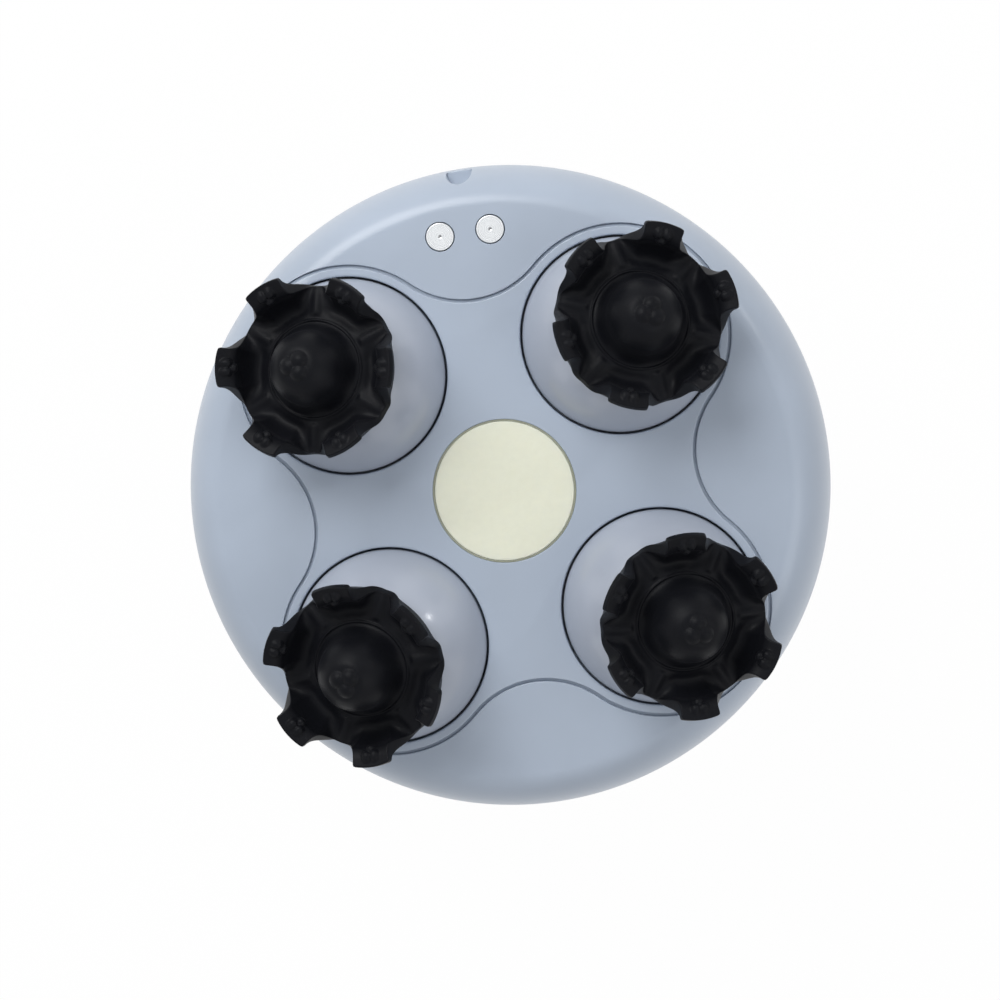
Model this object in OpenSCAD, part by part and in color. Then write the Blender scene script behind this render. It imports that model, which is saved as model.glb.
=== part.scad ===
// Electric scalp massager, lying on its back with the four claws up.
// Origin: middle of the flat rest face on the back. +Z: out of the working face. +Y: towards the contacts.
// Millimetres and degrees.

/* [Housing] */
// Largest diameter of the housing
body_d = 105; // [100:1:130]
// Height from the rest face to the working face
body_h = 68; // [66:1:84]
// Width of the rounded shoulder around the flat face
shoulder_w = 6.9; // [4:0.1:7.5]
// Depth of the rounded shoulder below the face
shoulder_h = 13.6; // [10:0.1:15]
// Height of the straight band below the shoulder
band_h = 3; // [2:0.5:5]
// Wall of both shells
wall = 2.4; // [2:0.1:3]
// Diameter of the grip at its waist
waist_d = 62; // [60:1:70]
// Diameter of the grip at its thickest
grip_d = 67; // [62:1:76]
// Diameter of the flat ring that the back rests on
rest_d = 48; // [40:1:52]
// Thickness of the front plate under the panel
plate_t = 2; // [1.6:0.1:3]
// Thickness of the floor around the power button
floor_t = 2.4; // [2:0.1:3]

/* [Face] */
// Thickness of the clover panel
panel_t = 2; // [1.6:0.1:3]
// Radius of the panel's lobes, to the middle of the groove
lobe_r = 17.45; // [17:0.05:18.5]
// Distance of the hollow arcs' centres from the middle
hollow_c = 45.7; // [44:0.1:48]
// Width of the groove around the panel
groove_w = 0.5; // [0.3:0.05:0.8]
// Diameter of the light window
window_d = 22.3; // [18:0.1:23]
// Diameter of a charging contact
contact_d = 4.5; // [3:0.1:6]
// Distance between the two contacts
contact_gap = 8.1; // [6.5:0.1:12]
// Distance of the contacts from the middle
contact_y = 41.6; // [40:0.1:42]
// Width of the locating notch in the rim
notch_w = 4.2; // [3:0.1:6]
// Depth of the locating notch, inwards from the rim
notch_l = 3; // [2:0.1:4]

/* [Heads] */
// Diameter of the circle through the four head axes
head_pcd = 62; // [61:0.5:66]
// Diameter of a turret at the face
turret_d = 31; // [26:0.5:32]
// Radius of a turret's dome
dome_r = 16; // [16:0.5:22]
// Wall of a turret
turret_wall = 1.8; // [1.4:0.1:2.4]
// Gap around a turret
turret_gap = 0.35; // [0.3:0.05:0.6]
// Tilt of a claw away from the head axis
claw_tilt = 15.2; // [0:0.1:18]
// Direction in which the claws lean, from the X axis
claw_lean = 26; // [0:1:90]
// Diameter of a head shaft
shaft_d = 4; // [3:0.5:5]
// Diameter of a claw core's stem
stem_d = 6; // [5:0.5:7]

/* [Claw] */
// Radius of the trough around the hub
trough_r = 7.7; // [7:0.1:8.5]
// Height of the trough above the dome's centre
trough_s = 16; // [15.8:0.1:17]
// Radius of the petal tips
tip_r = 14.9; // [13.5:0.1:15.2]
// Height of the petal tips above the dome's centre
tip_s = 21.9; // [20:0.1:23]
// Height of the hub above the dome's centre
hub_s = 24.5; // [23.5:0.1:26]
// Radius of the flat top of the hub
pad_r = 2.6; // [2:0.1:3]
// Thickness of the silicone
claw_t = 1.9; // [1.5:0.1:2.2]
// Radius from the axis to the bottom of the notches between petals
web_r = 12.3; // [11:0.1:13]
// Radius of the notches between petals
notch_r = 3.8; // [3:0.1:4.2]
// Radius of a nub
nub_r = 0.85; // [0.6:0.05:1.2]

/* [Gears] */
// Teeth of the sun gear
sun_teeth = 44; // [40:1:48]
// Teeth of a head gear
head_teeth = 32; // [28:1:36]
// Teeth of an idler gear
idler_teeth = 12; // [12:1:16]
// Teeth of a reduction pinion
pinion_teeth = 12; // [12:1:14]
// Teeth of a reduction wheel
wheel_teeth = 36; // [30:1:38]
// Module of the reduction gears
reduction_module = 0.5; // [0.4:0.05:0.55]
// Width of the sun and head gears
gear_w = 3; // [2:0.5:4]
// Width of a reduction gear
stage_w = 2; // [1.6:0.1:2.2]
// Gap between one level of gears and the next
level_gap = 0.4; // [0.3:0.05:0.6]
// Thinning of each tooth, for backlash
tooth_play = 0.06; // [0.04:0.01:0.12]
// Diameter of the pins that carry the reduction gears
pin_d = 2; // [1.6:0.1:2.4]
// Diameter of the pins that carry the idlers
idler_pin_d = 3; // [2:0.5:4]

/* [Gearbox and motor] */
// Thickness of the gearbox base
base_t = 2.4; // [2:0.1:3]
// Thickness of the gearbox cover
cover_t = 1.8; // [1.6:0.1:2.4]
// Radius of both gearbox plates
gearbox_r = 36.5; // [36:0.1:37.5]
// Distance of the gearbox screws from the middle
gearbox_screw_r = 32; // [31.5:0.1:33]
// Radius of a gearbox post
post_r = 3; // [2.6:0.1:3.2]
// Diameter of the motor can
motor_d = 24; // [20:0.5:25]
// Length of the motor can
motor_l = 25; // [20:0.5:26]

/* [Power button and electronics] */
// Diameter of the power button
button_d = 15; // [11:0.5:17]
// Travel of the power button
button_travel = 0.6; // [0.3:0.1:0.8]
// Depth of the dish around the button
dish_d = 1.4; // [1:0.1:2]
// Diameter of the dish around the button
dish_w = 30; // [24:1:34]
// Diameter of the main board
board_d = 54; // [48:1:56]
// Thickness of the boards
board_t = 1.2; // [0.8:0.1:1.6]
// Width, thickness and height of the battery
battery_w = 26; // [20:1:27]
battery_t = 8; // [6:0.5:8.5]
battery_h = 23; // [18:1:24]
// Distance of the housing screws from the widest edge
screw_inset = 6.2; // [5.5:0.1:7]

/* [Hidden] */
$fn = 64;

// Clearances: a turning fit, a seated fit, and the step by which a cut passes the face it opens
turn_fit = 0.03;
seat_fit = 0.02;
soft_gap = 0.3;
cut = 1;

// Housing
body_r = body_d / 2;
housing_screw_r = body_r - screw_inset;
flat_r = body_r - shoulder_w;
face_z = body_h;
wide_z = face_z - shoulder_h;
split_z = wide_z - band_h;
waist_r = waist_d / 2;
grip_r = grip_d / 2;
rest_r = rest_d / 2;
waist_z = 0.49 * split_z;
grip_z = 10.5;
edge_bevel = 0.35;

// Levels from the face down
panel_z = face_z - panel_t;
plate_z = panel_z - plate_t;
flange_t = 1.5;
flange_top = plate_z - level_gap;
flange_z = flange_top - flange_t;
cover_top = flange_z - 0.7;
cover_z = cover_top - cover_t;
upper_z = cover_z - level_gap - gear_w;
lower_z = upper_z - level_gap - gear_w;
function stage_z(k) = lower_z - (5 - k) * (stage_w + level_gap);
base_top = stage_z(1) - level_gap;
base_z = base_top - base_t;
motor_z = base_z - motor_l;

// Levels from the back up
floor_z = dish_d + floor_t;
ring_top = floor_z + 0.8;
button_flange_z = ring_top + 0.3;
button_top = button_flange_z + 0.8;
switch_z = button_top + 1.2;
switch_h = 3.5;
board_z = switch_z + switch_h;
board_top = board_z + board_t;

// Heads
turret_r = turret_d / 2;
opening_r = turret_r + turret_gap;
dome_z = face_z - sqrt(dome_r * dome_r - turret_r * turret_r);
turret_flange_r = opening_r + 1.4;
turret_boss_r = 6.5;
turret_boss_z = cover_top + 0.2;
shaft_r = shaft_d / 2;
shaft_top = dome_z + 6;
stem_r = stem_d / 2;
stem_s = 8.6;
core_r = 5;
core_s = 21;
bush_r = shaft_r + 1.5;
clip_t = 0.8;
clip_z = base_z - 0.1 - clip_t;
groove_r = shaft_r - 0.4;
HEADS = [1, 2, 3, 4];
function head_az(n) = 90 * n - 45;
function head_xy(n) = head_pcd / 2 * [cos(head_az(n)), sin(head_az(n))];
function claw_az(n) = [claw_lean, 180 - claw_lean, 180 + claw_lean, -claw_lean][n - 1];
// Direction of one petal of each claw
PETAL_AZ = [9, -9, -26.7, 26.7];

// Light, contacts and screws
window_r = window_d / 2;
window_lip = 1.25;
window_seal_t = 0.35;
light_hole_r = window_r - 0.65;
led_board_r = head_pcd / 2 - turret_flange_r - 0.5;
contact_r = contact_d / 2;
contact_depth = 1.2;
contact_stem_r = 1;
contact_stem_z = plate_z - 3;
lead_r = 0.45;
led_c = light_hole_r * 0.55;
led_h = 0.7;
gearbox_screw_d = 2.5;
housing_screw_d = 2.3;
housing_screw_l = 12;
small_screw_d = 1.6;
screw_recess_r = 2.4;
screw_seat_z = split_z - 4;
screw_boss_r = 3.4;
plug_t = 1.1;
plug_z = screw_seat_z - 2 - plug_t;

// Button, board, battery
board_post_r = 2.5;
board_screw_r = board_d / 2 - 4.5;
board_screw_az = [30, 150, 270];
button_z = dish_d - 0.6;
button_r = button_d / 2;
button_lip = 1.1;
finger_r = 40;
switch_w = 6;
plunger_r = 1.7;
plunger_in = 1.2;
tray_t = 1;
tray_gap = 0.1;
tongue_w = 12;
battery_y = -motor_d / 2 - 1.4;
battery_z = base_z - 1 - battery_h;
ring_in_r = button_r + 0.3;
ring_out_r = ring_in_r + 1.2;
ring_flange_r = ring_out_r + 1.4;
seal_r = body_r - wall / 2 - 0.1;

// Gears
pressure_angle = 25;
train_module = head_pcd / (sun_teeth + head_teeth);
stage_c = reduction_module * (pinion_teeth + wheel_teeth) / 2;
lay_az = 90;
idler_c = train_module * (sun_teeth + idler_teeth) / 2;
idler_to_head = train_module * (idler_teeth + head_teeth) / 2;
idler_angle = acos((pow(idler_c, 2) + pow(head_pcd / 2, 2) - pow(idler_to_head, 2)) / (idler_c * head_pcd));
pin_r = pin_d / 2;
idler_pin_r = idler_pin_d / 2;
motor_r = motor_d / 2;
motor_boss_r = 3;
motor_screw_c = 8;
motor_wall = 1;
motor_tail = 1.5;
root_depth = 1.25;
pinion_hub_r = reduction_module * (pinion_teeth / 2 - root_depth);
seal_w = 0.9;
seal_h = 1.1;
seal_play = 0.05;

function idler_az(n) = head_az(n) - idler_angle;
function idler_xy(n) = idler_c * [cos(idler_az(n)), sin(idler_az(n))];
function heading(from, to) = atan2(to[1] - from[1], to[0] - from[0]);

// Angle of a tooth of gear b in mesh with gear a, whose tooth stands at phase_a; b lies at direction dir
function mesh_phase(phase_a, teeth_a, teeth_b, dir) =
    dir + 180 + (180 - (phase_a - dir) * teeth_a) / teeth_b;

sun_phase = 0;
function head_phase(n) = n % 2 == 0
    ? mesh_phase(sun_phase, sun_teeth, head_teeth, head_az(n))
    : mesh_phase(idler_phase(n), idler_teeth, head_teeth, heading(idler_xy(n), head_xy(n)));
function idler_phase(n) = mesh_phase(sun_phase, sun_teeth, idler_teeth, idler_az(n));
lay_2_phase = mesh_phase(sun_phase, wheel_teeth, pinion_teeth, lay_az);
centre_phase = mesh_phase(lay_2_phase, wheel_teeth, pinion_teeth, lay_az + 180);
lay_1_phase = mesh_phase(centre_phase, wheel_teeth, pinion_teeth, lay_az);
motor_phase = mesh_phase(lay_1_phase, wheel_teeth, pinion_teeth, lay_az + 180);

// Involute tooth: half of its angle at radius r
function inv(a) = tan(a) * 180 / PI - a;
function half_tooth(m, teeth, r) =
    let (pitch_r = m * teeth / 2, base_r = pitch_r * cos(pressure_angle))
    90 / teeth - tooth_play / (2 * pitch_r) * 180 / PI + inv(pressure_angle)
        - (r > base_r ? inv(acos(base_r / r)) : 0);
function flank_radii(m, teeth) =
    let (
        pitch_r = m * teeth / 2,
        root_r = pitch_r - root_depth * m,
        outer_r = pitch_r + m,
        base_r = pitch_r * cos(pressure_angle),
        low = max(root_r, base_r)
    )
    concat(root_r < base_r ? [root_r] : [], [for (k = [0 : 2]) low + (outer_r - low) * k / 2]);
function on_circle(r, a) = [r * cos(a), r * sin(a)];
function tooth(m, teeth, at) =
    let (radii = flank_radii(m, teeth), last = len(radii) - 1)
    concat(
        [for (k = [0 : last]) on_circle(radii[k], at - half_tooth(m, teeth, radii[k]))],
        [for (k = [last : -1 : 0]) on_circle(radii[k], at + half_tooth(m, teeth, radii[k]))]
    );
function gear_outline(m, teeth, phase) =
    [for (i = [0 : teeth - 1]) each tooth(m, teeth, phase + i * 360 / teeth)];

module spur(m, teeth, w, phase) {
    linear_extrude(w) polygon(gear_outline(m, teeth, phase));
}

// Curves of the housing, as lists of [radius, height]
function bezier(p, t) =
    pow(1 - t, 3) * p[0] + 3 * pow(1 - t, 2) * t * p[1] + 3 * (1 - t) * t * t * p[2] + pow(t, 3) * p[3];
function bezier_slope(p, t) =
    pow(1 - t, 2) * (p[1] - p[0]) + 2 * (1 - t) * t * (p[2] - p[1]) + t * t * (p[3] - p[2]);
// A point of the curve, moved inwards by depth
function bezier_in(p, t, depth) =
    let (d = bezier_slope(p, t), l = norm(d))
    bezier(p, t) + depth * [d[1], -d[0]] / l;
cap_curve = [[body_r, split_z], [body_r, split_z - 10], [waist_r, waist_z + 10], [waist_r, waist_z]];
grip_curve = [[waist_r, waist_z], [waist_r, waist_z - 6], [grip_r, grip_z + 6], [grip_r, grip_z]];
heel_curve = [[grip_r, grip_z], [grip_r, 3.5], [rest_r + 6, 0], [rest_r, 0]];
function rear_curve(depth) = concat(
    [for (i = [0 : 16]) bezier_in(cap_curve, i / 16, depth)],
    [for (i = [1 : 8]) bezier_in(grip_curve, i / 8, depth)],
    [for (i = [1 : 12]) bezier_in(heel_curve, i / 12, depth)]
);
function shoulder_curve(top_r, top_z, low_r) =
    [for (a = [0 : 7.5 : 90]) [top_r + (low_r - top_r) * sin(a), wide_z + (top_z - wide_z) * cos(a)]];

function reverse(list) = [for (i = [len(list) - 1 : -1 : 0]) list[i]];

module at_head(n) {
    translate([head_xy(n)[0], head_xy(n)[1], 0]) children();
}

// The tilted axis of a claw, from the dome's centre, with one petal along X
module at_claw(n) {
    at_head(n)
    translate([0, 0, dome_z])
    rotate([0, 0, claw_az(n)])
    rotate([0, claw_tilt, 0])
    rotate([0, 0, PETAL_AZ[n - 1] - claw_az(n)])
    children();
}

module at_lay() {
    rotate([0, 0, lay_az]) translate([stage_c, 0, 0]) children();
}

module at_idler(n) {
    translate([idler_xy(n)[0], idler_xy(n)[1], 0]) children();
}

// Four places around the middle, on the axes
module on_axes(r) {
    for (a = [0 : 90 : 270])
        rotate([0, 0, a]) translate([r, 0, 0]) children();
}

module at_contacts() {
    for (side = [-1, 1])
        translate([side * contact_gap / 2, contact_y, 0]) children();
}

module tube(r_out, r_in, h) {
    difference() {
        cylinder(r = r_out, h = h);
        translate([0, 0, -cut]) cylinder(r = r_in, h = h + 2 * cut);
    }
}

// Four lobes joined by hollow arcs; grow widens the outline
module clover(h, grow) {
    lobe_c = head_xy(1);
    reach = norm([hollow_c, 0] - lobe_c);
    hollow_r = reach - lobe_r - grow;
    touch = lobe_c + (lobe_r + grow) / reach * ([hollow_c, 0] - lobe_c);
    corners = [for (a = [0 : 90 : 270]) each
        [for (s = [-1, 1]) on_circle(norm(touch), a + s * atan2(touch[1], touch[0]))]];
    difference() {
        union() {
            linear_extrude(h) polygon(corners);
            for (n = HEADS)
                at_head(n) cylinder(r = lobe_r + grow, h = h);
        }
        translate([0, 0, -cut]) on_axes(hollow_c) cylinder(r = hollow_r, h = h + 2 * cut);
    }
}

// Pan-head screw pointing up, with its head below the origin
module screw(d, length, head_r, head_h) {
    difference() {
        union() {
            translate([0, 0, -head_h]) cylinder(r = head_r, h = head_h);
            cylinder(d = d, h = length);
        }
        for (a = [0, 90])
            rotate([0, 0, a]) translate([-head_r * 0.6, -0.25, -head_h - cut])
                cube([head_r * 1.2, 0.5, cut + head_h / 2]);
    }
}

// Room for the seal between the shells
module seal_groove(h) {
    tube(seal_r + seal_w / 2 + seal_play, seal_r - seal_w / 2 - seal_play, h);
}

module rear_outside() {
    rotate_extrude() polygon(concat([[0, split_z]], rear_curve(0), [[0, 0]]));
}

module rear_shell() {
    inside = [for (p = rear_curve(wall)) if (p[1] > floor_z && p[1] < split_z - 0.2) p];
    low_r = inside[len(inside) - 1][0];
    outside = [for (p = rear_curve(0)) if (p[1] < split_z - 0.2) p];
    profile = concat(
        [[body_r - edge_bevel, split_z], [body_r, split_z - edge_bevel]],
        outside,
        [[dish_w / 2, 0], [dish_w / 2 - 1.5, dish_d * 0.75], [dish_w / 2 - 4, dish_d],
         [ring_out_r + seat_fit, dish_d], [ring_out_r + seat_fit, floor_z], [low_r, floor_z]],
        reverse(inside),
        [[body_r - wall, split_z]]
    );
    color([0.66, 0.69, 0.74])
    difference() {
        union() {
            rotate_extrude() polygon(profile);
            intersection() {
                rear_outside();
                on_axes(housing_screw_r) translate([0, 0, base_z - 2])
                    cylinder(r = screw_boss_r, h = split_z - base_z + 2);
            }
            for (a = board_screw_az)
                rotate([0, 0, a]) translate([board_screw_r, 0, floor_z - 0.5])
                    cylinder(r = board_post_r, h = board_z - floor_z + 0.5);
        }
        on_axes(housing_screw_r) {
            cylinder(r = screw_recess_r, h = screw_seat_z);
            cylinder(d = housing_screw_d + 0.3, h = split_z + cut);
        }
        for (a = board_screw_az)
            rotate([0, 0, a]) translate([board_screw_r, 0, floor_z + 1])
                cylinder(d = small_screw_d + 2 * seat_fit, h = board_z);
        translate([0, 0, split_z - seal_h / 2 - seal_play])
            seal_groove(seal_h / 2 + seal_play + cut);
    }
}

module front_shell() {
    top_in_r = flat_r - 1.1;
    profile = concat(
        [[0, face_z]],
        shoulder_curve(flat_r, face_z, body_r),
        [[body_r, split_z + edge_bevel], [body_r - edge_bevel, split_z], [body_r - wall, split_z]],
        reverse(shoulder_curve(top_in_r, plate_z, body_r - wall)),
        [[0, plate_z]]
    );
    outline = concat(
        [[0, face_z]],
        shoulder_curve(flat_r, face_z, body_r),
        [[body_r, split_z], [0, split_z]]
    );
    color([0.66, 0.69, 0.74])
    difference() {
        union() {
            rotate_extrude() polygon(profile);
            on_axes(housing_screw_r) translate([0, 0, split_z])
                cylinder(r = screw_boss_r - 0.4, h = plate_z - split_z + 0.5);
            on_axes(gearbox_screw_r) translate([0, 0, cover_top])
                cylinder(r = post_r, h = plate_z - cover_top + 0.5);
            at_contacts() translate([0, 0, plate_z - 2]) cylinder(r = 2.4, h = 2.5);
            intersection() {
                rotate_extrude() polygon(outline);
                translate([0, body_r - notch_l, split_z]) cylinder(r = notch_w, h = plate_z - split_z + 0.5);
            }
        }
        translate([0, 0, panel_z]) clover(panel_t + cut, groove_w / 2);
        for (n = HEADS)
            at_head(n) {
                translate([0, 0, plate_z - cut]) cylinder(r = opening_r, h = plate_t + 2 * cut);
                // Room for the turret's flange
                translate([0, 0, flange_z - 4])
                    cylinder(r = turret_flange_r + soft_gap, h = plate_z - flange_z + 4);
            }
        translate([0, 0, plate_z - cut]) cylinder(r = light_hole_r, h = plate_t + 2 * cut);
        at_contacts() {
            translate([0, 0, contact_stem_z])
                cylinder(r = contact_stem_r + seat_fit, h = face_z - contact_stem_z);
            translate([0, 0, face_z - contact_depth])
                cylinder(r = contact_r + 0.12, h = contact_depth + cut);
        }
        // Locating notch
        translate([0, body_r - notch_l + notch_w / 2, split_z + 8]) {
            cylinder(d = notch_w, h = shoulder_h);
            translate([-notch_w / 2, 0, 0]) cube([notch_w, notch_l, shoulder_h]);
        }
        on_axes(housing_screw_r) translate([0, 0, screw_seat_z])
            cylinder(d = housing_screw_d + 2 * seat_fit, h = housing_screw_l + cut);
        on_axes(gearbox_screw_r) translate([0, 0, cover_top - cut])
            cylinder(d = gearbox_screw_d + 2 * seat_fit, h = plate_z - cover_top + 2.4);
        translate([0, 0, split_z - cut])
            seal_groove(seal_h / 2 + seal_play + cut);
    }
}

module clover_panel() {
    color([0.66, 0.69, 0.74])
    translate([0, 0, panel_z])
    difference() {
        clover(panel_t, -groove_w / 2);
        for (n = HEADS)
            at_head(n) {
                translate([0, 0, -cut]) cylinder(r = opening_r, h = panel_t + 2 * cut);
                translate([0, 0, panel_t - 0.3]) cylinder(r1 = opening_r, r2 = opening_r + 0.4, h = 0.4);
            }
        translate([0, 0, -cut]) cylinder(r = window_r + window_seal_t, h = panel_t + 2 * cut);
        translate([0, 0, -cut]) cylinder(r = window_r + window_lip + 0.1, h = panel_t / 2 + cut);
    }
}

module shell_seal() {
    color([0.12, 0.12, 0.13])
    translate([0, 0, split_z - seal_h / 2]) tube(seal_r + seal_w / 2, seal_r - seal_w / 2, seal_h);
}

module housing_screws() {
    color([0.6, 0.6, 0.62])
    on_axes(housing_screw_r) translate([0, 0, screw_seat_z])
        screw(housing_screw_d, housing_screw_l, 2.1, 1.6);
}

module screw_plugs() {
    color([0.2, 0.2, 0.22])
    on_axes(housing_screw_r) translate([0, 0, plug_z]) cylinder(r = screw_recess_r - 0.05, h = plug_t);
}

module light_window() {
    color([0.9, 0.89, 0.82])
    translate([0, 0, panel_z]) {
        cylinder(r = window_r, h = panel_t);
        cylinder(r = window_r + window_lip, h = panel_t / 2 - 0.1);
    }
}

module window_seal() {
    color([0.15, 0.15, 0.16])
    translate([0, 0, panel_z + panel_t / 2])
        tube(window_r + window_seal_t - seat_fit, window_r + seat_fit, panel_t / 2 - 0.25);
}

module led_board() {
    color([0.1, 0.35, 0.2])
    translate([0, 0, plate_z - board_t]) {
        cylinder(r = led_board_r, h = board_t);
        on_axes(led_c) translate([-1.75, -1.4, board_t - 0.01]) cube([3.5, 2.8, led_h]);
    }
}

module charge_contacts() {
    color([0.82, 0.82, 0.83])
    at_contacts()
    difference() {
        union() {
            translate([0, 0, face_z - contact_depth]) cylinder(r = contact_r, h = contact_depth + 0.1);
            translate([0, 0, contact_stem_z]) cylinder(r = contact_stem_r, h = face_z - contact_stem_z - 0.5);
        }
        translate([0, 0, face_z + 0.9]) sphere(r = 1);
    }
}

module lead(points) {
    for (i = [0 : len(points) - 2]) {
        run = points[i + 1] - points[i];
        translate(points[i])
        rotate([0, acos(run[2] / norm(run)), atan2(run[1], run[0])])
        cylinder(r = lead_r, h = norm(run), $fn = 24);
        if (i > 0)
            translate(points[i]) sphere(r = lead_r + 0.05, $fn = 24);
    }
}

module internal_leads() {
    lead_x = contact_gap / 2;
    along_shell = [for (t = [0.5, 0.65, 0.8, 1]) bezier_in(cap_curve, t, wall + 1.2)];
    color([0.7, 0.15, 0.12])
    for (side = [-1, 1]) {
        // From a contact, past the gearbox and down to the main board
        lead(concat(
            [[side * lead_x, contact_y, contact_stem_z], [side * lead_x, contact_y, base_top + 4]],
            [for (p = along_shell) [side * lead_x, sqrt(p[0] * p[0] - lead_x * lead_x), p[1]]],
            [[side * lead_x, board_d / 2 - 4, board_top + 4], [side * lead_x, board_d / 2 - 4, board_top]]
        ));
        // From the battery down to the main board
        lead([
            [side * 3, battery_y - battery_t / 2, battery_z],
            [side * 3, battery_y - battery_t / 2, board_top]
        ]);
        // From the motor's terminals to the main board
        lead([[side * 5, 0, motor_z - motor_tail], [side * 5, 0, board_top]]);
    }
}

module main_board() {
    color([0.1, 0.35, 0.2])
    difference() {
        translate([0, 0, board_z]) {
            cylinder(d = board_d, h = board_t);
            // Charging chip, controller, connector and two capacitors
            translate([12, 8, board_t - 0.01]) cube([5, 4, 1.2]);
            translate([-21, -3, board_t - 0.01]) cube([7, 7, 1.2]);
            translate([-16, -14, board_t - 0.01]) cube([6, 5, 3]);
            for (x = [15, 19])
                translate([x, -8, board_t - 0.01]) cylinder(r = 1.6, h = 3);
        }
        for (a = board_screw_az)
            rotate([0, 0, a]) translate([board_screw_r, 0, board_z - cut])
                cylinder(d = small_screw_d + 0.3, h = board_t + 2 * cut);
    }
}

module board_screws() {
    color([0.6, 0.6, 0.62])
    for (a = board_screw_az)
        rotate([0, 0, a]) translate([board_screw_r, 0, board_top])
            rotate([180, 0, 0]) screw(small_screw_d, 5, 1.6, 1);
}

module tact_switch() {
    color([0.15, 0.15, 0.16])
    difference() {
        translate([-switch_w / 2, -switch_w / 2, switch_z]) cube([switch_w, switch_w, switch_h]);
        translate([0, 0, switch_z - cut])
            cylinder(r = plunger_r + 0.05, h = cut + plunger_in + button_travel + 0.3);
    }
}

module switch_plunger() {
    color([0.3, 0.3, 0.32])
    translate([0, 0, button_top]) cylinder(r = plunger_r, h = switch_z - button_top + plunger_in);
}

module battery() {
    color([0.25, 0.4, 0.6])
    translate([-battery_w / 2, battery_y - battery_t, battery_z]) cube([battery_w, battery_t, battery_h]);
}

// The tray hangs from the gearbox base by a tongue that a gearbox screw clamps
module battery_tray() {
    inner_w = battery_w + 2 * tray_gap;
    back_y = battery_y - battery_t - tray_gap;
    shelf_z = battery_z - tray_gap;
    tongue_l = gearbox_screw_r + post_r + back_y + tray_t;
    color([0.3, 0.3, 0.32])
    difference() {
        union() {
            translate([-inner_w / 2 - tray_t, back_y - tray_t, shelf_z - tray_t])
                cube([inner_w + 2 * tray_t, battery_t + tray_t, base_z - shelf_z + tray_t]);
            translate([-tongue_w / 2, -gearbox_screw_r - post_r, base_z])
                cube([tongue_w, tongue_l, base_t / 2 - 0.05]);
        }
        translate([-inner_w / 2, back_y, shelf_z]) cube([inner_w, battery_t + 2, base_z - shelf_z + cut]);
        translate([0, -gearbox_screw_r, base_z - cut]) cylinder(d = gearbox_screw_d + 0.2, h = base_t + cut);
        for (side = [-1, 1])
            translate([side * 3, battery_y - battery_t / 2, shelf_z - tray_t - cut])
                cylinder(r = lead_r + 0.2, h = tray_t + 2 * cut);
    }
}

module button_cap() {
    color([0.72, 0.74, 0.78])
    difference() {
        union() {
            translate([0, 0, button_z]) cylinder(r = button_r, h = button_top - button_z);
            translate([0, 0, button_flange_z])
                cylinder(r = button_r + button_lip, h = button_top - button_flange_z);
        }
        // Finger hollow
        translate([0, 0, button_z + 0.45 - finger_r]) sphere(r = finger_r, $fn = 128);
    }
}

module light_ring() {
    color([0.9, 0.9, 0.86])
    translate([0, 0, dish_d]) {
        tube(ring_out_r, ring_in_r, ring_top - dish_d);
        translate([0, 0, floor_z - dish_d]) tube(ring_flange_r, ring_in_r, ring_top - floor_z);
    }
}

module motor_can() {
    color([0.7, 0.7, 0.72])
    difference() {
        translate([0, 0, motor_z]) {
            cylinder(r = motor_r, h = motor_l);
            translate([0, 0, motor_l - 0.01]) cylinder(r = motor_boss_r, h = 1.6);
            translate([0, 0, -1]) cylinder(r = 3.5, h = 1.01);
            for (side = [-1, 1])
                translate([side * 5 - 0.6, -0.25, -motor_tail]) cube([1.2, 0.5, motor_tail + 0.01]);
        }
        translate([0, 0, motor_z + motor_wall])
            cylinder(r = motor_r - motor_wall, h = motor_l - 2 * motor_wall);
        translate([0, 0, motor_z - 2]) cylinder(r = pin_r + turn_fit, h = motor_l + 5);
        for (side = [-1, 1])
            translate([side * motor_screw_c, 0, base_z - motor_wall - cut])
                cylinder(d = small_screw_d + 2 * seat_fit, h = motor_wall + 2 * cut);
    }
}

module motor_shaft() {
    color([0.75, 0.75, 0.77])
    union() {
        translate([0, 0, motor_z - 0.8]) cylinder(r = pin_r, h = stage_z(1) + stage_w - motor_z + 0.8);
        translate([0, 0, motor_z + 7]) cylinder(r = motor_r - 2.5, h = motor_l - 11);
        translate([0, 0, motor_z + 3]) cylinder(r = 2.6, h = 4.5);
    }
}

module motor_pinion() {
    color([0.8, 0.65, 0.3])
    translate([0, 0, stage_z(1)])
    difference() {
        spur(reduction_module, pinion_teeth, stage_w, motor_phase);
        translate([0, 0, -cut]) cylinder(r = pin_r + seat_fit, h = stage_w + 2 * cut);
    }
}

module motor_screws() {
    color([0.6, 0.6, 0.62])
    for (side = [-1, 1])
        translate([side * motor_screw_c, 0, base_top - 1.2]) rotate([180, 0, 0])
            screw(small_screw_d, 2, 1.5, 1);
}

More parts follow.
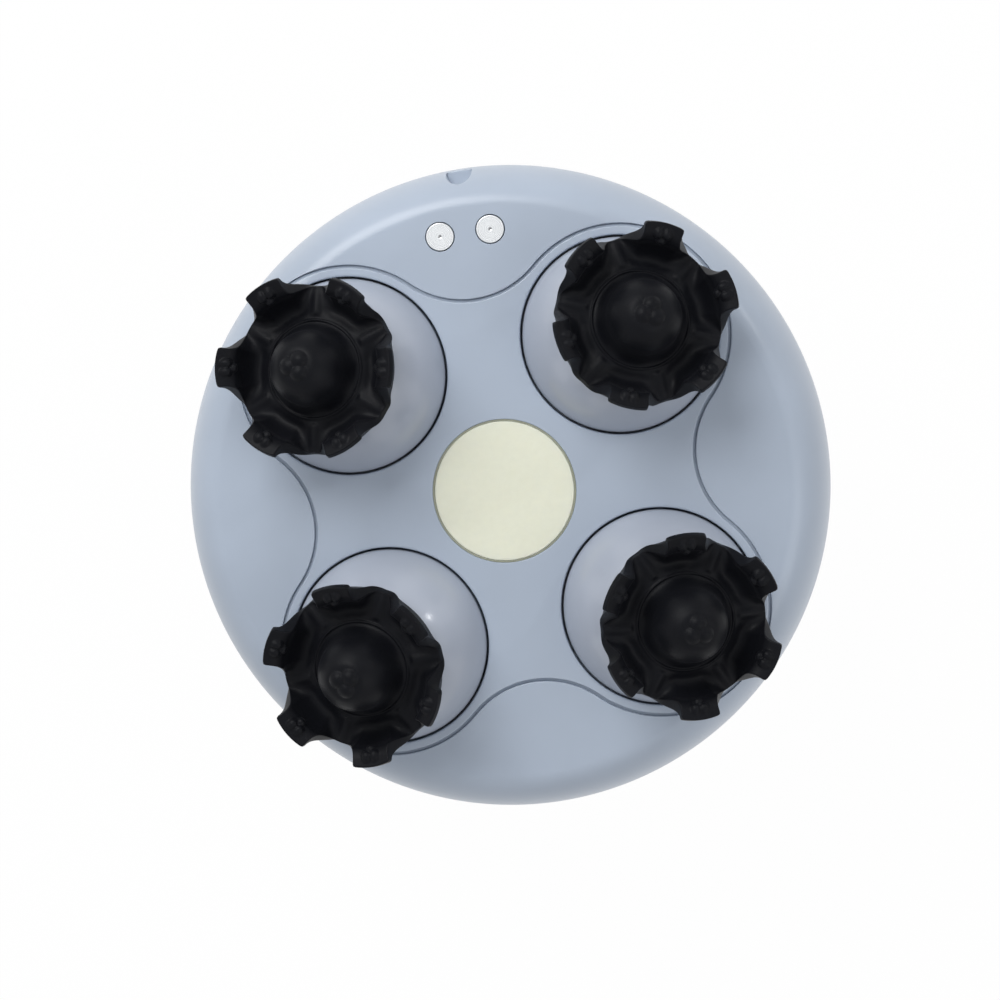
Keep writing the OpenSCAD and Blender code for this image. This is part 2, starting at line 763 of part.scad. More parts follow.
module gearbox_base() {
    color([0.85, 0.85, 0.83])
    difference() {
        union() {
            translate([0, 0, base_z]) cylinder(r = gearbox_r, h = base_t);
            on_axes(gearbox_screw_r) translate([0, 0, base_top - 0.5])
                cylinder(r = post_r, h = cover_z - base_top + 0.5);
        }
        translate([0, 0, base_z - cut]) {
            on_axes(gearbox_screw_r) cylinder(d = gearbox_screw_d + 0.2, h = cover_z - base_z + 2 * cut);
            for (n = HEADS)
                at_head(n) cylinder(r = bush_r + seat_fit, h = base_t + 2 * cut);
            for (n = [1, 3])
                at_idler(n) cylinder(r = idler_pin_r + seat_fit, h = base_t + 2 * cut);
            at_lay() cylinder(r = pin_r + seat_fit, h = base_t + 2 * cut);
            cylinder(r = motor_boss_r + 0.1, h = base_t + 2 * cut);
            for (side = [-1, 1])
                translate([side * motor_screw_c, 0, 0]) {
                    cylinder(r = 1, h = base_t + 2 * cut);
                    translate([0, 0, cut + base_t - 1.2]) cylinder(r = 1.7, h = 1.2 + cut);
                }
        }
        // Pocket for the battery tray's tongue
        translate([-tongue_w / 2 - 0.1, -gearbox_r - cut, base_z - cut])
            cube([tongue_w + 0.2, gearbox_r + cut + battery_y - battery_t + tray_t, cut + base_t / 2]);
    }
}

module gearbox_cover() {
    color([0.85, 0.85, 0.83])
    difference() {
        union() {
            translate([0, 0, cover_z]) cylinder(r = gearbox_r, h = cover_t);
            translate([0, 0, cover_top - 0.5]) cylinder(r = 6, h = plate_z - board_t - cover_top + 0.5);
        }
        translate([0, 0, cover_z - cut]) {
            on_axes(gearbox_screw_r) cylinder(d = gearbox_screw_d + 0.2, h = cover_t + 2 * cut);
            for (n = HEADS)
                at_head(n) cylinder(r = bush_r + seat_fit, h = cover_t + 2 * cut);
            for (n = [1, 3])
                at_idler(n) cylinder(r = idler_pin_r + seat_fit, h = cover_t + 2 * cut);
            cylinder(r = pin_r + seat_fit, h = cut + cover_t);
        }
    }
}

module gearbox_screws() {
    color([0.6, 0.6, 0.62])
    on_axes(gearbox_screw_r) translate([0, 0, base_z])
        screw(gearbox_screw_d, plate_z - base_z + 1, 2.2, 1.5);
}

module head_bushes() {
    color([0.72, 0.55, 0.3])
    for (n = HEADS)
        at_head(n) {
            translate([0, 0, base_z]) tube(bush_r, shaft_r + turn_fit, base_t);
            translate([0, 0, cover_z]) tube(bush_r, shaft_r + turn_fit, cover_t);
        }
}

module centre_pin() {
    low = stage_z(2) - 0.1;
    color([0.75, 0.75, 0.77])
    union() {
        translate([0, 0, low]) cylinder(r = pin_r, h = cover_top - low);
        translate([0, 0, low - 0.2]) cylinder(r = pin_r + 0.7, h = 0.2);
    }
}

module lay_pin() {
    color([0.75, 0.75, 0.77])
    at_lay() translate([0, 0, base_z]) cylinder(r = pin_r, h = lower_z - 0.2 - base_z);
}

module idler_pins() {
    color([0.75, 0.75, 0.77])
    for (n = [1, 3])
        at_idler(n) {
            translate([0, 0, base_z]) cylinder(r = idler_pin_r, h = cover_top - base_z);
            translate([0, 0, base_top]) cylinder(r = idler_pin_r + 1, h = lower_z - 0.2 - base_top);
        }
}

// A wheel with a pinion on top of it
module compound(low, phase, bore_r) {
    translate([0, 0, low])
    difference() {
        union() {
            spur(reduction_module, wheel_teeth, stage_w, phase);
            translate([0, 0, stage_w - 0.01]) cylinder(r = pinion_hub_r, h = level_gap + 0.02);
            translate([0, 0, stage_w + level_gap]) spur(reduction_module, pinion_teeth, stage_w, phase);
        }
        translate([0, 0, -cut]) cylinder(r = bore_r, h = 2 * stage_w + level_gap + 2 * cut);
    }
}

module lay_gear_1() {
    color([0.93, 0.92, 0.88])
    at_lay() rotate([0, 0, -lay_az]) compound(stage_z(1), lay_1_phase, pin_r + turn_fit);
}

module centre_gear() {
    color([0.93, 0.92, 0.88])
    compound(stage_z(2), centre_phase, pin_r + turn_fit);
}

module lay_gear_2() {
    color([0.93, 0.92, 0.88])
    at_lay() rotate([0, 0, -lay_az]) compound(stage_z(3), lay_2_phase, pin_r + turn_fit);
}

module sun_gear() {
    color([0.93, 0.92, 0.88])
    difference() {
        union() {
            translate([0, 0, stage_z(4)]) spur(reduction_module, wheel_teeth, stage_w, sun_phase);
            translate([0, 0, stage_z(4) + stage_w - 0.01]) cylinder(r = 6, h = level_gap + 0.02);
            translate([0, 0, lower_z]) spur(train_module, sun_teeth, gear_w, sun_phase);
            translate([0, 0, lower_z + gear_w - 0.01]) cylinder(r = 3, h = cover_z - 0.2 - lower_z - gear_w);
        }
        translate([0, 0, stage_z(4) - cut]) cylinder(r = pin_r + turn_fit, h = cover_z - stage_z(4) + cut);
    }
}

module idler_gear(n) {
    color([0.93, 0.92, 0.88])
    at_idler(n)
    translate([0, 0, lower_z])
    difference() {
        spur(train_module, idler_teeth, 2 * gear_w + level_gap, idler_phase(n));
        translate([0, 0, -cut]) cylinder(r = idler_pin_r + turn_fit, h = 2 * gear_w + level_gap + 2 * cut);
    }
}

module turret(n) {
    inner_r = dome_r - turret_wall;
    skirt_in_r = sqrt(inner_r * inner_r - pow(face_z - dome_z, 2));
    color([0.62, 0.65, 0.7])
    difference() {
        union() {
            difference() {
                at_head(n) {
                    intersection() {
                        translate([0, 0, dome_z]) sphere(r = dome_r);
                        translate([0, 0, face_z - 0.01]) cylinder(r = turret_r, h = dome_r);
                    }
                    translate([0, 0, flange_z]) cylinder(r = turret_r, h = face_z - flange_z);
                    translate([0, 0, flange_z]) cylinder(r = turret_flange_r, h = flange_t);
                }
                at_head(n) {
                    intersection() {
                        translate([0, 0, dome_z]) sphere(r = inner_r);
                        translate([0, 0, face_z - 0.01]) cylinder(r = turret_r, h = dome_r);
                    }
                    translate([0, 0, flange_z - cut]) cylinder(r = skirt_in_r, h = face_z - flange_z + cut);
                }
            }
            at_head(n) intersection() {
                translate([0, 0, dome_z]) sphere(r = inner_r + turret_wall / 2);
                translate([0, 0, turret_boss_z]) cylinder(r = turret_boss_r, h = 2 * dome_r);
            }
        }
        at_head(n) translate([0, 0, flange_z - 2])
            cylinder(r = shaft_r + seat_fit, h = shaft_top - flange_z + 2.1);
        at_claw(n) translate([0, 0, stem_s - 0.1]) cylinder(r = stem_r + seat_fit, h = dome_r);
    }
}

module claw_core(n) {
    color([0.3, 0.3, 0.32])
    at_claw(n)
    union() {
        translate([0, 0, stem_s]) cylinder(r = stem_r, h = dome_r + 1 - stem_s);
        translate([0, 0, dome_r + 0.25]) cylinder(r = core_r, h = core_s - dome_r - 1.25);
        translate([0, 0, core_s - 1.01]) cylinder(r1 = core_r, r2 = core_r - 1, h = 1.01);
    }
}

// Height at which the silicone's underside clears the dome
function under_s(r) = sqrt(pow(dome_r + soft_gap, 2) - r * r);

module claw(n) {
    bore_r = core_r + 0.05;
    hub_r = trough_r - 0.9;
    hub_low = trough_s + 0.5;
    profile = concat(
        [[0, core_s + 0.05], [0, hub_s]],
        [for (a = [0 : 15 : 90]) [pad_r + (hub_r - pad_r) * sin(a), hub_low + (hub_s - hub_low) * cos(a)]],
        [[trough_r, trough_s], [web_r - 1.6, trough_s + 0.5], [web_r - 0.3, trough_s + 1.6],
         [tip_r - claw_t, tip_s - 0.5], [tip_r - claw_t / 2, tip_s], [tip_r, tip_s - 0.7],
         [web_r + 1.4, trough_s + 0.4], [web_r - 0.4, trough_s - claw_t]],
        [for (r = [trough_r, trough_r - 1.3, bore_r]) [r, under_s(r)]],
        [[bore_r, core_s - 0.9], [core_r - 0.9, core_s + 0.05]]
    );
    color([0.09, 0.09, 0.1])
    at_claw(n) {
        difference() {
            rotate_extrude() polygon(profile);
            for (k = [0 : 5])
                rotate([0, 0, 60 * k + 30]) translate([web_r + notch_r, 0, trough_s - 4]) {
                    cylinder(r = notch_r, h = 12);
                    translate([0, -notch_r, 0]) cube([6, 2 * notch_r, 12]);
                }
        }
        for (k = [0 : 5])
            rotate([0, 0, 60 * k]) translate([tip_r - claw_t, 0, tip_s - 1.2]) rotate([0, -62, 0])
                nubs(1.35);
        translate([0, 0, hub_s - 0.1]) nubs(1.35);
    }
}

// Three contact nubs in a ring
module nubs(ring_r) {
    for (a = [60, 180, 300])
        rotate([0, 0, a]) translate([ring_r, 0, 0]) sphere(r = nub_r, $fn = 24);
}

module head_shaft(n) {
    low = clip_z - 0.8;
    color([0.75, 0.75, 0.77])
    at_head(n)
    difference() {
        translate([0, 0, low]) cylinder(r = shaft_r, h = shaft_top - low);
        translate([0, 0, clip_z - 0.05]) tube(shaft_r + cut, groove_r, clip_t + 0.1);
    }
}

module head_gear(n) {
    low = n % 2 == 0 ? lower_z : upper_z;
    color([0.93, 0.92, 0.88])
    at_head(n)
    difference() {
        translate([0, 0, low]) spur(train_module, head_teeth, gear_w, head_phase(n));
        translate([0, 0, low - cut]) cylinder(r = shaft_r + seat_fit, h = gear_w + 2 * cut);
    }
}

module shaft_clip(n) {
    color([0.35, 0.35, 0.37])
    at_head(n) translate([0, 0, clip_z])
    difference() {
        tube(shaft_r + 1.2, groove_r + seat_fit, clip_t);
        translate([0, -groove_r * 0.8, -cut]) cube([5, groove_r * 1.6, clip_t + 2 * cut]);
    }
}

rear_shell();
front_shell();
clover_panel();
shell_seal();
housing_screws();
screw_plugs();
light_window();
window_seal();
led_board();
charge_contacts();
internal_leads();
main_board();
board_screws();
tact_switch();
switch_plunger();
battery();
battery_tray();
button_cap();
light_ring();
motor_can();
motor_shaft();
motor_pinion();
motor_screws();
gearbox_base();
gearbox_cover();
gearbox_screws();
head_bushes();
centre_pin();
lay_pin();
idler_pins();
lay_gear_1();
centre_gear();
lay_gear_2();
sun_gear();
for (n = [1, 3])
    idler_gear(n);
for (n = HEADS) {
    turret(n);
    claw_core(n);
    claw(n);
    head_shaft(n);
    head_gear(n);
    shaft_clip(n);
}
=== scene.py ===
# %% [markdown]
# # An electric scalp massager
#
# A palm-held massager lies on its back and shows its working face: a round grey housing, a clover-shaped
# panel let into it, four domed turrets that turn, and on each turret a black silicone claw with six
# petals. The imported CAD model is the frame. Everything built here sits on it, in metres, and rides on its
# bodies.

# %% Load the frame
import math
import bmesh
import bpy
import numpy as np
from mathutils import Matrix, Vector
from mathutils.geometry import delaunay_2d_cdt


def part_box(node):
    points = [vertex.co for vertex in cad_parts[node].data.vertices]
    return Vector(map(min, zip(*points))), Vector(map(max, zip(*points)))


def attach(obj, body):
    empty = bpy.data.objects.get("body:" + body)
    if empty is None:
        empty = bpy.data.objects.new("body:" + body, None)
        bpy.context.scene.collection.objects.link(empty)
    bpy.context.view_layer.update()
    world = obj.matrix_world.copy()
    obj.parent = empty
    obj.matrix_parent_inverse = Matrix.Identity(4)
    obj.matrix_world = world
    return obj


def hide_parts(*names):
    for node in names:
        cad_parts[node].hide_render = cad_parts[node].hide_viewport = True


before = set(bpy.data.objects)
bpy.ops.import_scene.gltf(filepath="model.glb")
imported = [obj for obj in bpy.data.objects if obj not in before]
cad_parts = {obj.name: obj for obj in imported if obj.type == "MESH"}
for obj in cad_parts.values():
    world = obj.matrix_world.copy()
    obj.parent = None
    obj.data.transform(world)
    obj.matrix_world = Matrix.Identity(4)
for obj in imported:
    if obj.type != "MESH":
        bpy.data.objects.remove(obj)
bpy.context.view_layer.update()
print("nodes:", len(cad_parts))

# %% [markdown]
# ## Driving sizes
#
# The massager was drawn in millimetres, so shapes are worked out in millimetres here too and scaled once,
# when a mesh is made. The levels and radii that other pieces must meet are read from the frame's boxes.

# %% Sizes from the frame
MM = 0.001
HEADS = (1, 2, 3, 4)


def box_mm(node):
    """The lowest and highest corner of a CAD node, in millimetres."""
    low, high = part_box(node)
    return np.array(low) / MM, np.array(high) / MM


def middle_of(node):
    """The middle of a CAD node, seen from above, in millimetres."""
    low, high = box_mm(node)
    return (low[:2] + high[:2]) / 2


shell_low, shell_high = box_mm("front_shell")
turret_low, turret_high = box_mm("turret_1")
body_r, _, face_z = shell_high
split_z = shell_low[2]
panel_z = box_mm("clover_panel")[0][2]
dome_top = turret_high[2]
flange_z = turret_low[2]
flange_r = (turret_high[0] - turret_low[0]) / 2
head_xy = {n: middle_of(f"turret_{n}") for n in HEADS}
print(f"body radius {body_r:.2f}, face at {face_z:.2f}, shells part at {split_z:.2f}")
print(f"panel from {panel_z:.2f}, domes to {dome_top:.2f}, turret flange radius {flange_r:.2f}")

# %% Sizes of the face
shoulder_w = 6.9
shoulder_h = 13.6
wall = 2.4
plate_t = 2.0
dome_r = 16.0
turret_r = 15.5
opening_r = turret_r + 0.35
lobe_r = 17.45
hollow_c = 45.7
groove_w = 0.5
flat_r = body_r - shoulder_w
wide_z = face_z - shoulder_h
plate_z = panel_z - plate_t
dome_z = dome_top - dome_r
print(f"flat face radius {flat_r:.2f}, widest at {wide_z:.2f}, dome centres at {dome_z:.2f}")

# %% [markdown]
# ## Node trees written as expressions
#
# Both shader trees and geometry trees are long chains of arithmetic. Wrapping a socket in a small class
# whose operators add Math nodes lets a tree be written as the formula that it computes. Every other node
# comes from one method, which sets the node's settings first, because they decide which sockets the node
# has.

# %% A socket to calculate with
class Value:
    """A socket of a node tree that can be calculated with."""

    def __init__(self, graph, socket):
        self.graph = graph
        self.socket = socket

    def math(self, operation, *inputs):
        """The result of a Math node on these inputs."""
        return self.graph.node("ShaderNodeMath", {"operation": operation}, dict(enumerate(inputs)))

    def __add__(self, other):
        return self.math("ADD", self, other)

    def __sub__(self, other):
        return self.math("SUBTRACT", self, other)

    def __rsub__(self, other):
        return self.math("SUBTRACT", other, self)

    def __mul__(self, other):
        return self.math("MULTIPLY", self, other)

    def __truediv__(self, other):
        return self.math("DIVIDE", self, other)

    def __rtruediv__(self, other):
        return self.math("DIVIDE", other, self)

    __radd__ = __add__
    __rmul__ = __mul__


print("values can be added, subtracted, multiplied and divided")


# %% Nodes by type, settings and inputs
class Graph:
    """Adds nodes to a tree by type, settings and inputs."""

    def __init__(self, tree):
        self.tree = tree

    def node(self, kind, settings=None, inputs=None, output=0):
        """A new node of a type, with its settings made and its inputs fed. Returns one of its outputs."""
        made = self.tree.nodes.new(kind)
        for name, value in (settings or {}).items():
            if name == "stops":
                set_stops(made.color_ramp, value)
            else:
                setattr(made, name, value)
        for key, value in (inputs or {}).items():
            self.feed(pick(made.inputs, key), value)
        return Value(self, pick(made.outputs, output))

    def feed(self, socket, value):
        """Links a calculated value to a socket, or sets a plain one on it."""
        if isinstance(value, Value):
            self.tree.links.new(value.socket, socket)
        else:
            socket.default_value = value


def pick(sockets, key):
    """A socket by its place, or the one of that name that the node's settings have switched on."""
    if isinstance(key, int):
        return sockets[key]
    return next(s for s in sockets if s.name == key and s.enabled)


def set_stops(ramp, stops):
    """Gives a colour ramp its stops: pairs of a place and a colour."""
    while len(ramp.elements) < len(stops):
        ramp.elements.new(1.0)
    for element, (place, colour) in zip(ramp.elements, stops):
        element.position = place
        element.color = colour


print("tree helpers ready")

# %% [markdown]
# ## Making meshes
#
# A mesh is made from arrays in millimetres. Each piece is measured as soon as it is made: the number of
# triangles, and the number of edges that don't have exactly two faces, which is nought on a closed
# surface.

# %% From points to an object
def make_object(name, points, faces):
    """A mesh object from points in millimetres, linked to the scene."""
    mesh = bpy.data.meshes.new(name)
    mesh.from_pydata((np.asarray(points, float) * MM).tolist(), [], [tuple(map(int, f)) for f in faces])
    made = bpy.data.objects.new(name, mesh)
    bpy.context.scene.collection.objects.link(made)
    return made


def close_up(piece, material, merge=0.0005):
    """Merges a piece's doubles, points its faces outwards, smooths it and gives it its material."""
    work = bmesh.new()
    work.from_mesh(piece.data)
    bmesh.ops.remove_doubles(work, verts=work.verts, dist=merge * MM)
    bmesh.ops.dissolve_degenerate(work, edges=work.edges, dist=merge * MM / 2)
    bmesh.ops.recalc_face_normals(work, faces=work.faces)
    open_edges = sum(len(e.link_faces) != 2 for e in work.edges)
    volume = work.calc_volume(signed=True)
    if volume < 0:
        bmesh.ops.reverse_faces(work, faces=work.faces)
    triangles = sum(len(f.verts) - 2 for f in work.faces)
    work.to_mesh(piece.data)
    work.free()
    piece.data.shade_smooth()
    piece.data.materials.clear()
    piece.data.materials.append(material)
    print(f"{piece.name}: {triangles} triangles, {open_edges} open edges, {abs(volume) * 1e6:.2f} cm3")
    return piece


def settle(piece, body, node):
    """Parents a piece to the body it rides on and hides the CAD node that it stands for."""
    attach(piece, body)
    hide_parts(node)


# %% Level circles
SEGMENTS = 256
OPENING_SEGMENTS = 160
RECESS_SEGMENTS = 64
HOLE_SEGMENTS = 32


def circle(radius, height, centre=(0.0, 0.0), count=SEGMENTS):
    """Points of a level circle, counter-clockwise from +X."""
    turn = np.arange(count) * 2 * math.pi / count
    return np.stack([
        centre[0] + radius * np.cos(turn),
        centre[1] + radius * np.sin(turn),
        np.full(count, float(height)),
    ], axis=1)


def counter_clockwise(loop, flat):
    """The loop, turned round if it runs clockwise in the plane."""
    here = flat[loop]
    after = np.roll(here, -1, axis=0)
    area = np.sum(here[:, 0] * after[:, 1] - here[:, 1] * after[:, 0])
    return loop if area > 0 else loop[::-1]


print(
    "segments round the housing, openings, recesses and screw holes:",
    SEGMENTS, OPENING_SEGMENTS, RECESS_SEGMENTS, HOLE_SEGMENTS,
)


# %% Rings, strips and fills
class Surface:
    """Rings of points, strips between them and triangles inside them, collected into one mesh. Fills are
    worked out from above, or where the function lay puts the points when it lays the surface out flat."""

    def __init__(self, lay=None):
        self.points = []
        self.faces = []
        self.lay = lay

    def ring(self, points):
        """Adds points and returns their numbers."""
        start = len(self.points)
        self.points += [tuple(p) for p in points]
        return list(range(start, len(self.points)))

    def strip(self, first, second):
        """Quads between two closed rings with as many points."""
        nexts = first[1:] + first[:1], second[1:] + second[:1]
        self.faces += list(zip(first, nexts[0], nexts[1], second))

    def walk(self, rings):
        """Strips through several rings, one after the other."""
        for first, second in zip(rings, rings[1:]):
            self.strip(first, second)

    def fan(self, ring, centre):
        """Triangles from a ring to one point."""
        tip = self.ring([centre])[0]
        self.faces += [(a, b, tip) for a, b in zip(ring, ring[1:] + ring[:1])]

    def fill(self, outline, holes=(), loose=()):
        """Triangles between an outline and its holes, through loose points of the surface."""
        loops = [outline, *holes]
        used = [i for loop in loops for i in loop] + list(loose)
        place = {number: k for k, number in enumerate(used)}
        flat = np.array([self.points[i] for i in used])
        flat = (self.lay(flat) if self.lay else flat)[:, :2]
        polygons = [counter_clockwise([place[i] for i in loop], flat) for loop in loops]
        flat = [Vector(point) for point in flat]
        _, _, made, from_point, _, from_polygon = delaunay_2d_cdt(flat, [], polygons, 1, 1e-7)
        names = [used[origin[0]] for origin in from_point]
        self.faces += [
            tuple(names[k] for k in face)
            for face, origin in zip(made, from_polygon) if origin == [0]
        ]


print("surfaces ready")


# %% Roundings and skins
def bend(start, corner, end, steps=5):
    """Points on the rounded way from start to end past a corner; works on single points and on rings."""
    start, corner, end = (np.asarray(p, float) for p in (start, corner, end))
    t = np.linspace(0, 1, steps + 1)
    return [(1 - k) ** 2 * start + 2 * k * (1 - k) * corner + k * k * end for k in t]


def skin_piece(name, surface, material, node):
    """A closed skin of the housing, which stands for one CAD node."""
    piece = close_up(make_object(name, surface.points, surface.faces), material)
    settle(piece, "housing", node)


print("mesh helpers ready")

# %% [markdown]
# ## Turned pieces
#
# The turrets, the light window, the button and its light ring, the contacts and the plugs are all turned
# shapes: an outline of radius and height, swept once round an axis. That is a rule, so one Geometry Nodes
# tree makes them all. The object's own mesh is the outline. The tree lays a grid, gives each grid point
# the radius and height of its outline point, turns it round the axis, and merges the seam and the poles.

# %% Opening and closing a geometry tree
def open_tree(name, sockets):
    """A geometry tree with named inputs, given as a kind and a first value. Returns its graph, the inputs'
    identifiers and the values that come in."""
    tree = bpy.data.node_groups.new(name, "GeometryNodeTree")
    tree.interface.new_socket("Geometry", in_out="INPUT", socket_type="NodeSocketGeometry")
    tree.interface.new_socket("Geometry", in_out="OUTPUT", socket_type="NodeSocketGeometry")
    identifiers = {}
    for socket, (kind, value) in sockets.items():
        made = tree.interface.new_socket(socket, in_out="INPUT", socket_type=f"NodeSocket{kind}")
        if value is not None:
            made.default_value = value
        identifiers[socket] = made.identifier
    graph = Graph(tree)
    entry = tree.nodes.new("NodeGroupInput")
    given = {socket: Value(graph, pick(entry.outputs, socket)) for socket in ("Geometry", *sockets)}
    return graph, identifiers, given


def close_tree(graph, shape, material):
    """Makes the shape real, gives it its material and leads it out of the tree."""
    shape = graph.node("GeometryNodeRealizeInstances", inputs={"Geometry": shape})
    shape = graph.node("GeometryNodeSetMaterial", inputs={"Geometry": shape, "Material": material})
    leave = graph.tree.nodes.new("NodeGroupOutput")
    graph.tree.links.new(shape.socket, leave.inputs[0])
    print(f"{graph.tree.name}: {len(graph.tree.nodes)} nodes")


print("geometry tree helpers ready")

# %% The turning tree
turning, turning_sockets, given = open_tree("turning", {
    "Points": ("Int", 2),
    "Segments": ("Int", 96),
    "Merge Distance": ("Float", 1e-6),
    "Centre": ("Vector", None),
    "Material": ("Material", None),
})
grid = turning.node("GeometryNodeMeshGrid", inputs={
    "Vertices X": given["Segments"] + 1,
    "Vertices Y": given["Points"],
})
index = turning.node("GeometryNodeInputIndex")
step = index.math("FLOOR", index / given["Points"])
outline_point = turning.node("GeometryNodeSampleIndex", {"data_type": "FLOAT_VECTOR"}, {
    "Geometry": given["Geometry"],
    "Value": turning.node("GeometryNodeInputPosition"),
    "Index": index - step * given["Points"],
})
radius = turning.node("ShaderNodeSeparateXYZ", inputs={0: outline_point}, output="X")
height = turning.node("ShaderNodeSeparateXYZ", inputs={0: outline_point}, output="Z")
turn = step / given["Segments"] * math.tau
spot = turning.node("ShaderNodeCombineXYZ", inputs={
    "X": radius * turn.math("COSINE", turn),
    "Y": radius * turn.math("SINE", turn),
    "Z": height,
})
spot = turning.node("ShaderNodeVectorMath", {"operation": "ADD"}, {0: spot, 1: given["Centre"]})
swept = turning.node("GeometryNodeSetPosition", inputs={"Geometry": grid, "Position": spot})
swept = turning.node("GeometryNodeMergeByDistance", inputs={
    "Geometry": swept,
    "Distance": given["Merge Distance"],
})
close_tree(turning, swept, given["Material"])


# %% Using a tree
def run_tree(host, tree, sockets, values):
    """Runs a geometry tree on an object, with values by the names of its inputs, and leaves its result as
    the object's plain mesh."""
    modifier = host.modifiers.new(tree.name, "NODES")
    modifier.node_group = tree
    for name, value in values.items():
        modifier[sockets[name]] = value
    host.update_tag()
    graph = bpy.context.evaluated_depsgraph_get()
    made = bpy.data.meshes.new_from_object(host.evaluated_get(graph))
    host.modifiers.remove(modifier)
    old = host.data
    host.data = made
    bpy.data.meshes.remove(old)
    made.name = host.name


def rounded(corners, steps=4, support=1.7):
    """An outline through corners of (radius, height, rounding). Each rounding stands between two support
    points, so many times its size from the corner, so that the flat stretches are shaded flat."""
    outline = []
    for k, (r, z, size) in enumerate(corners):
        here = np.array([r, z], float)
        if size == 0:
            outline.append(here)
            continue
        before = np.array(corners[k - 1][:2], float) - here
        after = np.array(corners[(k + 1) % len(corners)][:2], float) - here
        before /= np.linalg.norm(before)
        after /= np.linalg.norm(after)
        outline.append(here + before * size * support)
        outline += bend(here + before * size, here, here + after * size, steps)
        outline.append(here + after * size * support)
    return outline


def turn_piece(name, outline, material, centre=(0.0, 0.0), segments=96):
    """A turned piece: an outline of (radius, height) in millimetres round a level centre."""
    points = [(r, 0.0, z) for r, z in outline]
    host = make_object(name, points, [])
    run_tree(host, turning.tree, turning_sockets, {
        "Points": len(points),
        "Segments": segments,
        "Centre": (centre[0] * MM, centre[1] * MM, 0.0),
        "Material": material,
    })
    return close_up(host, material)


print("turned pieces ready")

# %% [markdown]
# ## Finishes
#
# A finish is a Principled shader. What is the same all over, such as sheen or the refractive index, is
# set on the shader's own socket. What varies, such as a moulding's fine grain, a trace of wear or the
# colour's drift, is a formula on the point's place on the object, and feeds the base colour, the
# roughness or a bump.

# %% A finish and its parts
def socket_name(word):
    """A keyword such as specular_ior_level as the shader writes it."""
    return word.replace("_", " ").title().replace("Ior", "IOR")


class Finish:
    """A material with a Principled shader and formulas for what varies over its surface."""

    def __init__(self, name, **constants):
        self.material = bpy.data.materials.new(name)
        self.material.use_nodes = True
        self.graph = Graph(self.material.node_tree)
        self.shader = self.material.node_tree.nodes["Principled BSDF"]
        for key, value in constants.items():
            self.shader.inputs[socket_name(key)].default_value = value
        self.place = self.graph.node("ShaderNodeTexCoord", output="Object")

    def noise(self, size, detail=2.0, roughness=0.5, place=None):
        """Noise from 0 to 1 whose lumps are about size millimetres across."""
        return self.graph.node("ShaderNodeTexNoise", {"noise_dimensions": "3D"}, {
            "Vector": place or self.place,
            "Scale": 1 / (size * MM), "Detail": detail, "Roughness": roughness,
        }, "Fac")

    def part(self, axis):
        """One coordinate of the place on the object, in millimetres."""
        return self.graph.node("ShaderNodeSeparateXYZ", inputs={0: self.place}, output=axis) * (1 / MM)

    def span(self, value, low, high, out_low=0.0, out_high=1.0):
        """Value moved from one range to another and held inside it."""
        return self.graph.node("ShaderNodeMapRange", {"clamp": True}, {
            "Value": value, "From Min": low, "From Max": high, "To Min": out_low, "To Max": out_high,
        })

    def blend(self, factor, first, second):
        """Between two colours, by a factor."""
        return self.graph.node("ShaderNodeMix", {"data_type": "RGBA"}, {
            "Factor": factor, "A": first, "B": second,
        }, "Result")

    def drift(self, noise, base, share):
        """Lets the colour drift by a share of itself, darker and lighter, as the noise does."""
        tint = self.span(noise, 0.3, 0.7)
        self.feed("Base Color", self.blend(tint, scaled(base, 1 - share), scaled(base, 1 + share)))

    def feed(self, name, value):
        """Leads a formula into one of the shader's sockets."""
        self.graph.feed(self.shader.inputs[name], value)

    def bump(self, height, depth):
        """Height from 0 to 1 felt as so many millimetres of relief."""
        normal = self.graph.node("ShaderNodeBump", inputs={
            "Strength": 1.0, "Distance": depth * MM, "Height": height,
        })
        self.feed("Normal", normal)


print("finishes ready")


# %% Colours
def colour(red, green, blue):
    """A linear colour from the 0 to 255 values that a screen shows."""
    def linear(level):
        level /= 255
        return level / 12.92 if level <= 0.04045 else ((level + 0.055) / 1.055) ** 2.4

    return (linear(red), linear(green), linear(blue), 1.0)


def scaled(base, factor):
    """A colour made darker or lighter."""
    return tuple(level * factor for level in base[:3]) + (1.0,)


print(f"a grey that a screen shows as 128 is {colour(128, 128, 128)[0]:.3f} in linear light")

# %% [markdown]
# ### Moulded plastic
#
# The housing is satin plastic from a finely spark-eroded mould: the surface is a hair rough, the
# roughness drifts a little where hands have polished it, and the colour is nearly even. The gloss is held
# low, because the real shell shows soft, wide highlights.

# %% Plastics
def plastic(name, base, roughness, grain=0.35, depth=0.006, speckle=0.10):
    """Moulded plastic with a fine grain."""
    made = Finish(name)
    cloud = made.noise(14.0, 3.0)
    fine = made.noise(grain, 2.0)
    made.drift(cloud, base, 0.03)
    made.feed("Roughness", roughness + (cloud - 0.5) * 0.08 + (fine - 0.5) * speckle)
    made.bump(fine, depth)
    return made.material


shell_colour = colour(167, 178, 193)
front_grey = plastic("front_grey", shell_colour, 0.32, depth=0.004)
panel_grey = plastic("panel_grey", shell_colour, 0.32, depth=0.004)
rear_grey = plastic("rear_grey", shell_colour, 0.44)
turret_grey = plastic("turret_grey", colour(168, 175, 188), 0.20, grain=1.2, depth=0.001, speckle=0.03)
button_grey = plastic("button_grey", colour(186, 192, 202), 0.38)
gearbox_white = plastic("gearbox_white", colour(226, 226, 220), 0.50)
gear_white = plastic("gear_white", colour(240, 238, 228), 0.36)
tray_dark = plastic("tray_dark", colour(70, 71, 76), 0.55)
core_dark = plastic("core_dark", colour(72, 72, 78), 0.55)
switch_black = plastic("switch_black", colour(38, 38, 41), 0.48)
print("materials so far:", len(bpy.data.materials))

